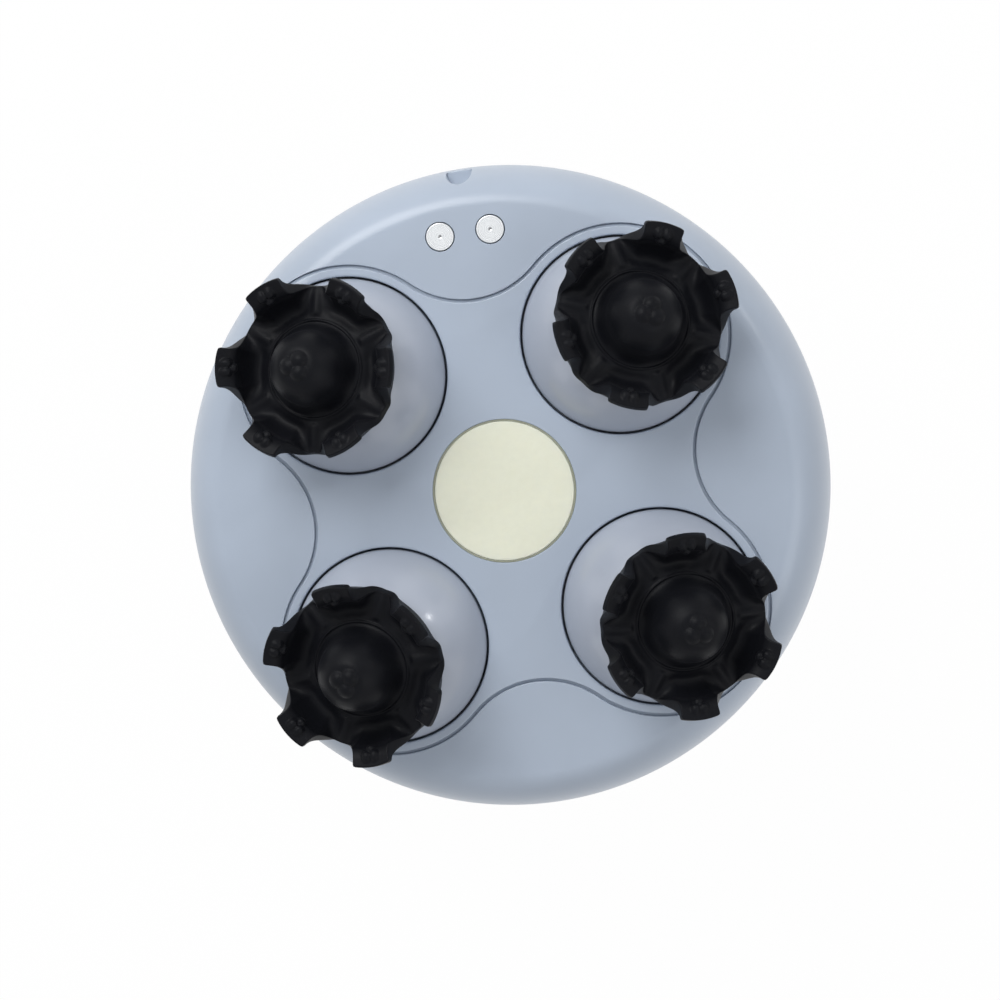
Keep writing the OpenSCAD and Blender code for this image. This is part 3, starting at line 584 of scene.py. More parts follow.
# %% [markdown]
# ### Silicone and rubber
#
# The claws are black silicone. It is matte, its mould leaves it slightly uneven, and dust and skin oil
# lighten it in faint patches. A little sheen gives the soft grey bloom on the ridges that turn away.

# %% Soft blacks
def silicone(name, base, roughness, sheen, specular, dust):
    """Matte silicone with a faint bloom of dust."""
    made = Finish(
        name, specular_ior_level=specular, sheen_weight=sheen, sheen_roughness=0.5,
        sheen_tint=(0.75, 0.78, 0.88, 1.0),
    )
    cloud = made.noise(5.0, 4.0, 0.6)
    fine = made.noise(0.25, 3.0)
    speck = made.span(made.noise(0.9, 1.0), 0.70, 0.80)
    bloom = made.span(cloud, 0.35, 0.75) * 0.5 + speck * 0.5
    made.feed("Base Color", made.blend(bloom, base, scaled(base, 1 + dust)))
    made.feed("Roughness", roughness + (cloud - 0.5) * 0.16 + (fine - 0.5) * 0.12)
    made.bump(fine * 0.6 + cloud * 0.4, 0.012)
    return made.material


claw_silicone = silicone("claw_silicone", colour(12, 13, 17), 0.45, sheen=0.02, specular=0.09, dust=0.5)
seal_rubber = silicone("seal_rubber", colour(44, 46, 50), 0.60, sheen=0.10, specular=0.30, dust=0.6)
seal_grey = silicone("seal_grey", colour(146, 149, 132), 0.60, sheen=0.10, specular=0.30, dust=0.2)
plug_rubber = silicone("plug_rubber", colour(120, 126, 136), 0.60, sheen=0.15, specular=0.30, dust=0.2)
lead_red = silicone("lead_red", colour(170, 36, 30), 0.35, sheen=0.05, specular=0.45, dust=0.2)
print("materials so far:", len(bpy.data.materials))

# %% [markdown]
# ### Light window and light ring
#
# The window is a cream lens over the light board. It scatters light just under its surface, and its
# moulding leaves the faintest mottling.

# %% Lenses
def lens(name, base, roughness):
    """Milky translucent plastic."""
    made = Finish(
        name, specular_ior_level=0.4, subsurface_weight=0.25, subsurface_radius=(0.9, 0.8, 0.6),
        subsurface_scale=2 * MM,
    )
    mottle = made.noise(1.1, 3.0, 0.6)
    made.drift(mottle, base, 0.015)
    made.feed("Roughness", roughness + (mottle - 0.5) * 0.1)
    made.bump(made.noise(0.4), 0.004)
    return made.material


light_lens = lens("light_lens", colour(230, 231, 212), 0.40)
ring_lens = lens("ring_lens", colour(232, 234, 230), 0.35)
print("materials so far:", len(bpy.data.materials))

# %% [markdown]
# ### Metals
#
# The contacts are turned on a lathe, so fine rings run round each centre. They are plated steel. The
# pins, screws and the motor's can inside are ground or plated, and brass and bronze turn up at the pinion
# and the bushes. A ground metal's scratches run one way, so its noise is stretched.

# %% Metal
def metal(name, base, roughness, stretch=(1.0, 1.0, 1.0), size=0.5, depth=0.002):
    """Plated or ground metal with scratches along the axis that stretch draws out."""
    made = Finish(name, metallic=1.0)
    along = made.graph.node("ShaderNodeMapping", inputs={"Vector": made.place, "Scale": stretch})
    scratch = made.noise(size, 4.0, 0.6, along)
    cloud = made.noise(3.0)
    made.feed("Base Color", made.blend(cloud, scaled(base, 0.9), base))
    made.feed("Roughness", roughness + (scratch - 0.5) * 0.25 + (cloud - 0.5) * 0.08)
    made.bump(scratch, depth)
    return made.material


pin_steel = metal("pin_steel", colour(214, 215, 218), 0.22, stretch=(1.0, 1.0, 0.05))
can_steel = metal("can_steel", colour(206, 207, 209), 0.32, stretch=(1.0, 1.0, 0.04), size=0.8)
screw_steel = metal("screw_steel", colour(190, 191, 196), 0.30)
clip_steel = metal("clip_steel", colour(120, 121, 126), 0.38)
pinion_brass = metal("pinion_brass", colour(226, 192, 112), 0.28, stretch=(1.0, 1.0, 0.1))
bush_bronze = metal("bush_bronze", colour(196, 150, 96), 0.45, size=0.2, depth=0.006)
print("materials so far:", len(bpy.data.materials))

# %% Spun contacts
contact_xy = [(-4.05, 41.6), (4.05, 41.6)]


def spun_metal(name, base):
    """Bright metal with fine rings round each contact's centre, and painted shade that darkens the dimple in
    the middle.
    """
    made = Finish(name, metallic=1.0)
    x, y = made.part("X"), made.part("Y")
    across = x.math("ABSOLUTE", x) - contact_xy[1][0]
    up = y - contact_xy[1][1]
    away = across.math("SQRT", across * across + up * up)
    rings = made.graph.node("ShaderNodeTexNoise", {"noise_dimensions": "1D"}, {
        "W": away, "Scale": 9.0, "Detail": 3.0, "Roughness": 0.7,
    }, "Fac")
    spun = made.blend(made.span(rings, 0.35, 0.65), scaled(base, 0.80), base)
    # Painted shade: within about 0.3 mm of each contact's middle, over the dimple, the base colour falls to
    # a dark dot.
    made.feed("Base Color", made.blend(made.span(away, 0.20, 0.34), scaled(base, 0.30), spun))
    made.feed("Roughness", 0.28 + (rings - 0.5) * 0.2)
    made.bump(rings, 0.004)
    return made.material


contact_metal = spun_metal("contact_metal", colour(236, 238, 239))
print("rings are spun round", contact_xy)

# %% [markdown]
# ### Boards and the battery
#
# The circuit boards are green solder mask over copper. The tracks show through as slightly lighter lines
# on a square lattice. The battery is wrapped in blue film, which is smooth and creases a little.

# %% Board and film
def board(name, base):
    """Solder mask over a lattice of tracks."""
    made = Finish(name)
    wander = (made.noise(2.5, 1.0) - 0.5) * 1.2
    pitch = 2.2

    def lines(axis):
        """Thin lines square to an axis."""
        wave = (made.part(axis) + wander) / pitch
        fold = wave.math("PINGPONG", wave, 0.5)
        return made.span(fold, 0.10, 0.14, 1.0, 0.0)

    x_lines, y_lines = lines("X"), lines("Y")
    tracks = x_lines.math("MAXIMUM", x_lines, y_lines)
    kept = tracks * made.span(made.noise(6.0, 1.0), 0.48, 0.54)
    made.feed("Base Color", made.blend(kept, base, scaled(base, 1.7)))
    made.feed("Roughness", 0.34 + (made.noise(1.0) - 0.5) * 0.15)
    made.bump(kept, 0.03)
    return made.material


def film(name, base):
    """Shrink film round a battery."""
    made = Finish(name, specular_ior_level=0.6)
    crease = made.noise(3.0, 2.0, 0.4)
    made.drift(crease, base, 0.1)
    made.feed("Roughness", 0.28 + (crease - 0.5) * 0.2)
    made.bump(crease, 0.05)
    return made.material


board_green = board("board_green", colour(28, 96, 58))
cell_blue = film("cell_blue", colour(58, 100, 158))
print("materials:", len(bpy.data.materials))

# %% [markdown]
# ### Dressing the CAD nodes that stay
#
# The works inside, such as the gears, shafts, motor and boards, already have their exact shape in the CAD
# model. They keep it, and only take a finish.

# %% Finishes for the CAD nodes
def dress(material, *nodes):
    """Puts a finish on CAD nodes."""
    for node in nodes:
        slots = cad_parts[node].material_slots
        for slot in slots:
            slot.material = material
        if not slots:
            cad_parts[node].data.materials.append(material)


def each(stem):
    """A node's name for each of the four heads."""
    return [f"{stem}_{n}" for n in HEADS]


dress(seal_rubber, "shell_seal")
dress(screw_steel, "housing_screws", "board_screws", "motor_screws", "gearbox_screws")
dress(board_green, "led_board", "main_board")
dress(lead_red, "internal_leads")
dress(switch_black, "tact_switch", "switch_plunger")
dress(cell_blue, "battery")
dress(tray_dark, "battery_tray")
dress(can_steel, "motor_can")
dress(pin_steel, "motor_shaft", "centre_pin", "lay_pin", "idler_pins", *each("head_shaft"))
dress(pinion_brass, "motor_pinion")
dress(bush_bronze, "head_bushes")
dress(gearbox_white, "gearbox_base", "gearbox_cover")
dress(gear_white, "lay_gear_1", "centre_gear", "lay_gear_2", "sun_gear", "idler_gear_1", "idler_gear_3")
dress(gear_white, *each("head_gear"))
dress(core_dark, *each("claw_core"))
dress(clip_steel, *each("shaft_clip"))
print("dressed CAD nodes")

# %% [markdown]
# ## Turrets
#
# A turret is a hollow dome that fills its round opening and turns in it. Its skirt runs down past the
# face to a flange under the front plate, which keeps it in. The dome meets the skirt in a soft crease at
# the face.

# %% Turn the turrets
turret_wall = 1.8
turret_flange_t = 1.5
boss_r = 6.5
boss_low = flange_z - 0.5
shaft_r = 2.02
shaft_top = dome_z + 6.1


def arc(radius, first, last, steps, centre_z):
    """Points of an arc round (0, centre_z), by angles in degrees from the axis."""
    turn = np.radians(np.linspace(first, last, steps + 1))
    return [np.array([radius * math.sin(a), centre_z + radius * math.cos(a)]) for a in turn]


inner_r = dome_r - turret_wall
crease = math.degrees(math.asin(turret_r / dome_r))
skirt_in = math.sqrt(inner_r ** 2 - (face_z - dome_z) ** 2)
inner_crease = math.degrees(math.asin(skirt_in / inner_r))
inner_boss = math.degrees(math.asin(boss_r / inner_r))
turret_outline = [
    *arc(dome_r, 0, crease - 1.5, 34, dome_z),
    *bend(
        arc(dome_r, 0, crease - 1, 1, dome_z)[1],
        (turret_r, face_z),
        (turret_r, face_z - 0.5),
    ),
    *rounded([
        (turret_r, face_z - 1, 0),
        (turret_r, flange_z + turret_flange_t, 0.2),
        (flange_r, flange_z + turret_flange_t, 0.25),
        (flange_r, flange_z, 0.25),
        (skirt_in, flange_z, 0.25),
        (skirt_in, face_z - 1, 0),
    ]),
    *arc(inner_r, inner_crease, inner_boss, 16, dome_z),
    *rounded([
        (boss_r, dome_z + 8, 0),
        (boss_r, boss_low, 0.3),
        (shaft_r, boss_low, 0.2),
        (shaft_r, shaft_top, 0.1),
        (0, shaft_top, 0),
    ])[1:],
]
for n in HEADS:
    turret = turn_piece(f"turret_dome_{n}", turret_outline, turret_grey, head_xy[n], OPENING_SEGMENTS)
    settle(turret, f"head_{n}", f"turret_{n}")

# %% [markdown]
# ## Claws
#
# A claw is one moulding of silicone: a bell-shaped hub with a three-lobed pad on top, a thin bead round
# its foot, and six petals that rise like spoons. Between two petals the rim dips in a deep round notch,
# and a flat rib runs from the bead out to the bottom of each notch. So the moulding has two cross
# sections, one along a petal and one along a rib, and passes from one into the other. Near each tip stand
# three small nubs.
#
# Six equal petals are a rule too. One sector of 60 degrees is worked out by formulas and copied round the
# axis by a Geometry Nodes tree, which joins it to the hub. The claw's own frame has its origin in the
# dome's centre and its axis up, and each finished claw is tilted into place.

# %% Sizes of a claw
PETALS = 6
HALF_SECTOR = math.pi / PETALS
foot_r = 7.4
bead_r = 7.75
bead_h = 0.30
bead_w = 0.33
# The moulding's upper and lower line from the hub's foot outwards, as (radius, height): along a petal
petal_upper = np.array([
    (foot_r, 16.06), (8.3, 15.9), (9.15, 15.95), (9.9, 16.35), (10.5, 17.1),
    (11.0, 18.1), (11.5, 19.15), (12.05, 20.1), (12.9, 20.9), (14.3, 21.6),
])
petal_lower = np.array([
    (foot_r, 14.56), (8.7, 14.40), (10.2, 14.3), (11.6, 14.4), (12.7, 14.95),
    (13.3, 16.0), (13.5, 17.3), (13.7, 18.6), (14.05, 19.7), (14.6, 20.5),
])
# and along a rib, where the bottom of the notch is at the sixth point
rib_upper = np.array([
    (foot_r, 16.06), (8.5, 16.0), (9.7, 15.95), (10.9, 15.85), (12.0, 15.7),
    (12.9, 15.5), (13.6, 15.6), (14.0, 16.2), (14.2, 17.5), (14.3, 19.0),
])
rib_lower = np.array([
    (foot_r, 14.56), (8.6, 14.5), (9.9, 14.4), (11.2, 14.3), (12.3, 14.2),
    (13.1, 14.2), (14.0, 14.5), (14.4, 15.3), (14.6, 16.8), (14.7, 18.5),
])
notch_point = 5
notch_half = math.radians(18.3)
tip_bulge = 0.12
scoop_depth = 0.6
ridge_h = 0.28
ridge_half_w = 1.1
rib_half_w = 0.45
rib_soft = 2.7
edge_r = 0.25
edge_power = 0.4
nub_r = 0.85
nub_ring = 0.82
nub_sunk = 0.12
nub_from_tip = 1.65
# Lengths from the foot over which a ridge and a scoop begin, and before the tip over which the scoop ends
ridge_start = 0.8, 1.6
scoop_start = 0.75, 2.4
scoop_end = 2.5
print("petals on a claw:", PETALS)


# %% Curves along a claw
def smooth(value, low, high):
    """0 below low, 1 above high, and an S between."""
    t = np.clip((value - low) / (high - low), 0, 1)
    return t * t * (3 - 2 * t)


def along(line, t):
    """A smooth curve through a line's points; t counts the points, with fractions between them."""
    t = np.clip(np.asarray(t, float), 0, len(line) - 1)
    k = np.minimum(t.astype(int), len(line) - 2)
    f = (t - k)[..., None]
    padded = np.vstack([2 * line[0] - line[1], line, 2 * line[-1] - line[-2]])
    a, b, c, d = (padded[k + i] for i in range(4))
    return b + 0.5 * f * (c - a + f * (2 * a - 5 * b + 4 * c - d + f * (3 * (b - c) + d - a)))


fine_t = np.linspace(0, len(petal_upper) - 1, 400)
fine_middle = (along(petal_upper, fine_t) + along(petal_lower, fine_t)) / 2
fine_length = np.concatenate([[0], np.cumsum(np.linalg.norm(np.diff(fine_middle, axis=0), axis=1))])
full_length = fine_length[-1]
notch_length = float(np.interp(notch_point, fine_t, fine_length))
print(f"a petal is {full_length:.2f} mm long from the hub's foot, and {notch_length:.2f} mm at the notches")


# %% Cross section of a claw
def beside_rib(angle, radius):
    """0 on a rib and 1 on a petal."""
    return smooth((HALF_SECTOR - np.abs(angle)) * radius, rib_half_w, rib_half_w + rib_soft)


def section(length, angle):
    """Middle point, half thickness and upward direction at a length along the moulding and an angle."""
    t = np.interp(length, fine_length, fine_t)
    on_petal = beside_rib(angle, along(petal_upper, t)[..., 0])[..., None]
    upper = along(rib_upper, t) * (1 - on_petal) + along(petal_upper, t) * on_petal
    lower = along(rib_lower, t) * (1 - on_petal) + along(petal_lower, t) * on_petal
    half = (upper - lower) / 2
    thick = np.linalg.norm(half, axis=-1)
    return (upper + lower) / 2, thick, half / thick[..., None]


print(f"the moulding is {2 * section(full_length, 0.0)[1]:.2f} mm thick at the tips")

# %% [markdown]
# The sector's rim is drawn on the unrolled wall, as an angle round the axis and a length up the wall:
# half an ellipse down one side of a notch, the gently bulged tip, and the other half. It is softened a
# little, then divided so that the points lie close at the tip, where the nubs and corners are, and wider
# in the notches.

# %% The rim of a sector
def rim_of_sector():
    """Angles and lengths along the rim, from the middle of one notch to the next."""
    drop = full_length - notch_length
    turn = np.linspace(0, math.pi / 2, 200)
    notch_side = notch_length + drop * (1 - np.cos(turn))
    notch_angle = -HALF_SECTOR + notch_half * np.sin(turn)
    tip = np.linspace(-1, 1, 240)
    tip_angle = -notch_angle[-1] * tip
    tip_length = full_length + tip_bulge * (1 - tip * tip) - tip_bulge
    angle = np.concatenate([notch_angle, tip_angle[1:-1], -notch_angle[::-1]])
    length = np.concatenate([notch_side - tip_bulge, tip_length[1:-1], notch_side[::-1] - tip_bulge])
    return angle, length


def even_out(angle, length, softening=0.11, close=0.19, wide=0.40, radius=13.4, fine=0.02):
    """The rim softened, and divided by the wanted distances between points. The radius is the wall's, near
    enough, and makes a distance of an angle."""
    x = np.concatenate([angle - 2 * HALF_SECTOR, angle, angle + 2 * HALF_SECTOR]) * radius
    y = np.tile(length, 3)
    run = np.concatenate([[0], np.cumsum(np.hypot(np.diff(x), np.diff(y)))])
    even = np.arange(0, run[-1], fine)
    x, y = np.interp(even, run, x), np.interp(even, run, y)
    kernel = np.exp(-0.5 * (np.arange(-40, 41) * fine / softening) ** 2)
    kernel /= kernel.sum()
    x, y = np.convolve(x, kernel, "same"), np.convolve(y, kernel, "same")
    inside = np.abs(x) <= HALF_SECTOR * radius
    x, y = x[inside], y[inside]
    step_length = wide + (close - wide) * smooth(y, notch_length + 1.0, full_length - 1.5)
    cost = np.concatenate([[0], np.cumsum(np.hypot(np.diff(x), np.diff(y)) / step_length[1:])])
    columns = 2 * int(round(cost[-1] / 2))
    wanted = np.linspace(0, cost[-1], columns + 1)
    x, y = np.interp(wanted, cost, x), np.interp(wanted, cost, y)
    x, y = (x - x[::-1]) / 2, (y + y[::-1]) / 2
    x[0], x[-1] = -HALF_SECTOR * radius, HALF_SECTOR * radius
    return x / radius, y


rim_angle, rim_length = even_out(*rim_of_sector())
columns = len(rim_angle) - 1
foot_angle = np.linspace(-HALF_SECTOR, HALF_SECTOR, columns + 1)
print("columns in a sector:", columns)


# %% [markdown]
# The relief is measured along the moulding's own upward direction: the bead, the ribs' ridges, the scoops
# between them, and the nubs. A nub is a ball's cap, and three of them melt together where they touch,
# because their heights are added as high powers.

# %% Relief of the upper side
def caps(x, y, ring, size, sunk, start=math.pi):
    """Height of three round caps in a ring round the origin."""
    total = 0
    for k in range(3):
        turn = start + k * 2 * math.pi / 3
        away = (x - ring * math.cos(turn)) ** 2 + (y - ring * math.sin(turn)) ** 2
        total = total + np.maximum(np.sqrt(np.maximum(size * size - away, 0)) - sunk, 0) ** 5
    return total ** 0.2


def relief(length, angle, radius):
    """Millimetres that the upper side stands above the plain moulding."""
    scoop = smooth(length, *scoop_start) * (1 - smooth(length, notch_length, full_length - scoop_end))
    bead = bead_h * (1 - smooth(np.abs(radius - bead_r), 0, bead_w))
    nubs = caps(length - (full_length - nub_from_tip), angle * radius, nub_ring, nub_r, nub_sunk)
    from_rib = (HALF_SECTOR - np.abs(angle)) * radius
    ridge = ridge_h * (1 - smooth(from_rib, 0, ridge_half_w)) * smooth(length, *ridge_start)
    return bead + ridge - scoop_depth * scoop * beside_rib(angle, radius) + nubs


print(f"a nub stands {nub_r - nub_sunk:.2f} mm high")

# %% One sector as a mesh
def turned(flat, angle):
    """Points (radius, height) turned to an angle round the axis."""
    return np.stack([flat[..., 0] * np.cos(angle), flat[..., 0] * np.sin(angle), flat[..., 1]], axis=-1)


def side_of_wall(share, sign):
    """A row of the upper (sign 1) or lower (sign -1) side, at a share of the way to the rim."""
    angle = foot_angle + (rim_angle - foot_angle) * share
    length = rim_length * share
    middle, thick, up = section(length, angle)
    height = thick + (relief(length, angle, middle[:, 0]) if sign > 0 else 0)
    return turned(middle + sign * up * height[:, None], angle)


def rim_rows(steps):
    """Rows round the rim's edge, from just under its upper line to just above its lower one."""
    middle, low, up = section(rim_length, rim_angle)
    top = low + relief(rim_length, rim_angle, middle[:, 0])
    centre = turned(middle, rim_angle)
    normal = turned(up, rim_angle)
    run = np.gradient(centre, axis=0)
    # At the two ends the rim runs square to the sector's sides
    for end, sign in ((0, -1), (-1, 1)):
        run[end] = (-math.sin(sign * HALF_SECTOR), math.cos(sign * HALF_SECTOR), 0)
    out = np.cross(run, normal)
    out /= np.linalg.norm(out, axis=1)[:, None]
    rows = []
    for turn in np.linspace(0, math.pi, steps + 2)[1:-1]:
        lift = math.copysign(abs(math.cos(turn)) ** edge_power, math.cos(turn))
        rise = lift * (top if turn < math.pi / 2 else low)
        rows.append(centre + normal * rise[:, None] + out * (edge_r * math.sin(turn) ** edge_power))
    return rows


def grid_faces(rows, across):
    """Quads of a grid whose points are numbered row by row."""
    corner = np.arange((rows - 1) * across).reshape(rows - 1, across)[:, :-1].ravel()
    return np.stack([corner, corner + 1, corner + across + 1, corner + across], axis=1)


# Rows lie close at the foot, where the bead is, and near the tip, where the nubs are
upper_shares = np.concatenate([
    np.linspace(0, 0.16, 9)[:-1],
    np.linspace(0.16, 0.62, 17)[:-1],
    np.linspace(0.62, 1, 25),
])
lower_shares = np.linspace(1, 0, 17)
edge_rows = 9
sector_rows = [side_of_wall(share, 1) for share in upper_shares]
sector_rows += rim_rows(edge_rows)
sector_rows += [side_of_wall(share, -1) for share in lower_shares]
sector_points = np.concatenate(sector_rows)
sector_faces = grid_faces(len(sector_rows), columns + 1)
print("points in a sector:", len(sector_points))

# %% [markdown]
# The hub is drawn as rings, because its pad has three lobes and isn't quite round. Below, it is hollow:
# the stiff core that carries it fits in a bore.

# %% The hub
core_r = 5.05
core_top = 21.05
hub_line = np.array([
    (foot_r, 16.06), (6.9, 16.4), (6.4, 17.2), (6.05, 18.3), (5.85, 19.5), (5.6, 20.7), (5.1, 21.8),
    (4.45, 22.75), (3.7, 23.5), (3.0, 24.0), (2.3, 24.22), (1.5, 24.3), (0.8, 24.3), (0.0, 24.3),
])
lobe_size, lobe_ring, lobe_sunk = 1.75, 1.1, 1.0
pad_r = 4
clear_r = dome_r + 0.3


def clear_of_dome(radius):
    """The height at which the silicone's underside clears the dome."""
    return math.sqrt(clear_r ** 2 - radius ** 2)


hub_angle = np.concatenate([foot_angle[:-1] + 2 * HALF_SECTOR * k for k in range(PETALS)])
hub_over = along(hub_line, np.linspace(0, len(hub_line) - 1, 56))
hub_under = np.array([
    (foot_r, 14.56), (6.6, clear_of_dome(6.6)), (5.5, clear_of_dome(5.5)),
    (core_r, clear_of_dome(core_r) + 0.2), (core_r, 17.5), (core_r, 20.0), (core_r - 0.2, 20.3),
    (4.2, core_top), (2.0, core_top), (0.0, core_top),
])
hub_surface = Surface()


def hub_ring(r, s, lobed):
    """A ring of the hub at a radius and height, raised in three lobes where it belongs to the pad."""
    points = turned(np.tile([r, s], (len(hub_angle), 1)), hub_angle)
    if lobed:
        points[:, 2] += caps(points[:, 0], points[:, 1], lobe_ring, lobe_size, lobe_sunk)
    return hub_surface.ring(points)


for line, lobed in ((hub_over, True), (hub_under, False)):
    hub_surface.walk([hub_ring(r, s, lobed and r < pad_r) for r, s in line])
print("points in the hub:", len(hub_surface.points))

# %% [markdown]
# The copying tree places one copy of the object's own mesh on each of a number of points at the origin,
# turns each by its share of the circle, makes the copies real, joins an object such as the hub and merges
# the seams.

# %% The copying tree
copying, copying_sockets, given = open_tree("copies_in_a_ring", {
    "Copies": ("Int", PETALS),
    "Joined": ("Object", None),
    "Merge Distance": ("Float", 2e-6),
    "Material": ("Material", None),
})
copies = copying.node("GeometryNodeInstanceOnPoints", inputs={
    "Points": copying.node("GeometryNodePoints", inputs={"Count": given["Copies"]}),
    "Instance": given["Geometry"],
    "Rotation": copying.node("ShaderNodeCombineXYZ", inputs={
        "Z": copying.node("GeometryNodeInputIndex") / given["Copies"] * math.tau,
    }),
})
copies = copying.node("GeometryNodeRealizeInstances", inputs={"Geometry": copies})
joined = copying.node("GeometryNodeObjectInfo", inputs={"Object": given["Joined"]}, output="Geometry")
join = copying.tree.nodes.new("GeometryNodeJoinGeometry")
for part in (joined, copies):
    copying.tree.links.new(part.socket, join.inputs[0])
whole = copying.node("GeometryNodeMergeByDistance", inputs={
    "Geometry": Value(copying, join.outputs[0]),
    "Distance": given["Merge Distance"],
})
close_tree(copying, whole, given["Material"])


def copy_round(host, copies, material, joined=None):
    """Copies an object's mesh round the Z axis, joins another object's mesh and closes the result."""
    run_tree(host, copying.tree, copying_sockets, {"Copies": copies, "Joined": joined, "Material": material})
    return close_up(host, material)


# %% Six petals and a hub
hub = make_object("hub", hub_surface.points, hub_surface.faces)
claw_tilt = math.radians(15.2)
claw_lean = {n: math.radians(a) for n, a in zip(HEADS, (26, 154, 206, -26))}
petal_turn = {n: math.radians(a) for n, a in zip(HEADS, (9, -9, -26.7, 26.7))}
for n in HEADS:
    sector = make_object(f"claw_petals_{n}", sector_points, sector_faces)
    claw = copy_round(sector, PETALS, claw_silicone, hub)
    x, y = head_xy[n] * MM
    tilted = (
        Matrix.Translation((x, y, dome_z * MM))
        @ Matrix.Rotation(claw_lean[n], 4, "Z")
        @ Matrix.Rotation(claw_tilt, 4, "Y")
        @ Matrix.Rotation(petal_turn[n] - claw_lean[n], 4, "Z")
    )
    claw.data.transform(tilted)
    settle(claw, f"head_{n}", f"claw_{n}")
bpy.data.objects.remove(hub)

# %% [markdown]
# ## The front shell
#
# The face, its shoulder and its wall are one closed skin, laid ring by ring. Stretches with holes in them
# are filled between their rims. Every rim that a finger could feel is rounded, and a support ring on
# either side keeps the rounding from spreading.
#
# The clover is wider than the flat face: its four lobes run out over the start of the shoulder, and bend
# down with it. So the face and the shoulder are one surface, a height over each point seen from above.

# %% The face and the shoulder as one surface
def shoulder(a):
    """Radius and height on the shoulder, from 0 degrees at the face to 90 at the widest ring."""
    a = np.radians(a)
    return np.stack([flat_r + shoulder_w * np.sin(a), wide_z + shoulder_h * np.cos(a)], axis=-1)


fine_a = np.linspace(0, 90, 901)
fine_run = np.concatenate([[0], np.cumsum(np.linalg.norm(np.diff(shoulder(fine_a), axis=0), axis=1))])


def lean_at(far):
    """The angle on the shoulder at a distance from the axis; 0 on the face."""
    return np.degrees(np.arcsin(np.clip((far - flat_r) / shoulder_w, 0, 1)))


def over_face(points):
    """Points lifted or lowered onto the face and the shoulder."""
    lifted = np.array(points, float)
    far = np.hypot(lifted[:, 0], lifted[:, 1])
    lifted[:, 2] = shoulder(lean_at(far))[:, 1]
    return lifted


def lay_flat(points):
    """Where points of the face and the shoulder lie when the shoulder is laid out flat round the face."""
    far = np.hypot(points[:, 0], points[:, 1])
    run = np.minimum(far, flat_r) + np.interp(lean_at(far), fine_a, fine_run)
    return points[:, :2] * (run / np.maximum(far, 1e-9))[:, None]


def fold_back(flat):
    """The points of the shoulder for places on it laid flat."""
    far = np.hypot(flat[:, 0], flat[:, 1])
    r, z = shoulder(np.interp(far - flat_r, fine_run, fine_a)).T
    return np.column_stack([flat * (r / far)[:, None], z])


print(f"laid out flat, the shoulder is {fine_run[-1]:.2f} mm long")

# %% Outlines
lobe_at = head_xy[1][0]
reach = math.hypot(lobe_at, hollow_c - lobe_at)
meet = math.atan2(lobe_at, hollow_c - lobe_at)


def clover(grow, height=0.0):
    """The panel's outline grown by so much: a lobe round each turret, and a hollow between two lobes."""
    quarter = []
    for centre, radius, first, last, count in (
        ((lobe_at, lobe_at), lobe_r + grow, -meet, math.pi / 2 + meet, 72),
        ((0, hollow_c), reach - lobe_r - grow, meet - math.pi / 2, -meet - math.pi / 2, 30),
    ):
        turn = np.linspace(first, last, count, endpoint=False)
        quarter.append(np.array(centre) + radius * np.stack([np.cos(turn), np.sin(turn)], axis=1))
    quarter = np.concatenate(quarter)
    across = quarter[:, ::-1]
    flat = np.concatenate([quarter, across * (-1, 1), -quarter, across * (1, -1)])
    return np.column_stack([flat, np.full(len(flat), float(height))])


def disc(radius, centre=(0.0, 0.0), count=SEGMENTS):
    """A round outline as a function of how much it is grown and of its height."""
    return lambda grow, height=0.0: circle(radius + grow, height, centre, count)


print("points in the clover:", len(clover(0)))

# %% Rounded edges, ribs and screw holes
edge_support = 1.8


def edge(surface, shape, size, side, lift=over_face, into=-1, steps=4):
    """Rings over the rounded edge of a shape in the surface that lift puts points on. Side is 1 where that
    surface lies outside the shape and -1 inside it. The wall goes down (into -1) or up (into 1)."""
    rim = lift(shape(0))
    wall = np.array([0, 0, into * size])
    rings = [lift(shape(side * size * edge_support))]
    rings += bend(lift(shape(side * size)), rim, rim + wall, steps)
    rings.append(rim + edge_support * wall)
    return [surface.ring(points) for points in rings]


def inner_wall(radius, height, flat=0.0, out=4.2):
    """A ring on the inside of a shell, which stands in as a rib at each housing screw."""
    ring = circle(1.0, 0.0)
    away = np.min(np.abs(ring[:, :2]), axis=1) * radius
    rib = max(radius - rib_r, 0) * (1 - smooth(away, flat, out))
    ring *= (radius - rib)[:, None]
    ring[:, 2] = height
    return ring


def screw_hole(surface, centre, radius, z, end_z):
    """A blind hole for a screw. Returns its rim."""
    rings = [surface.ring(circle(radius, level, centre, HOLE_SEGMENTS)) for level in (z, end_z)]
    surface.walk(rings)
    surface.fan(rings[1], (*centre, end_z))
    return rings[0]


def screw_post(surface, centre, radius, foot_z, top_z, hole_r, hole_z):
    """A round post with a blind hole down its middle. Returns the ring at its foot."""
    post = [surface.ring(circle(radius, z, centre, HOLE_SEGMENTS)) for z in (foot_z, top_z)]
    surface.walk([*post, screw_hole(surface, centre, hole_r, top_z, hole_z)])
    return post[0]


screw_at = body_r - 6.2
rib_r = screw_at - 3.2
on_axes = [np.array(p) for p in ((1, 0), (0, 1), (-1, 0), (0, -1))]
print(f"housing screws stand {screw_at:.2f} mm from the middle")

# %% [markdown]
# The locating notch is a straight cut from above into the shoulder. Its rim is rounded full down the wall
# where the cut is deep, and out over the floor where the floor runs out of the shoulder.

# %% The notch
notch_r = 2.1
notch_y = body_r - 3.0 + notch_r
notch_z = split_z + 8
notch_edge = 0.22


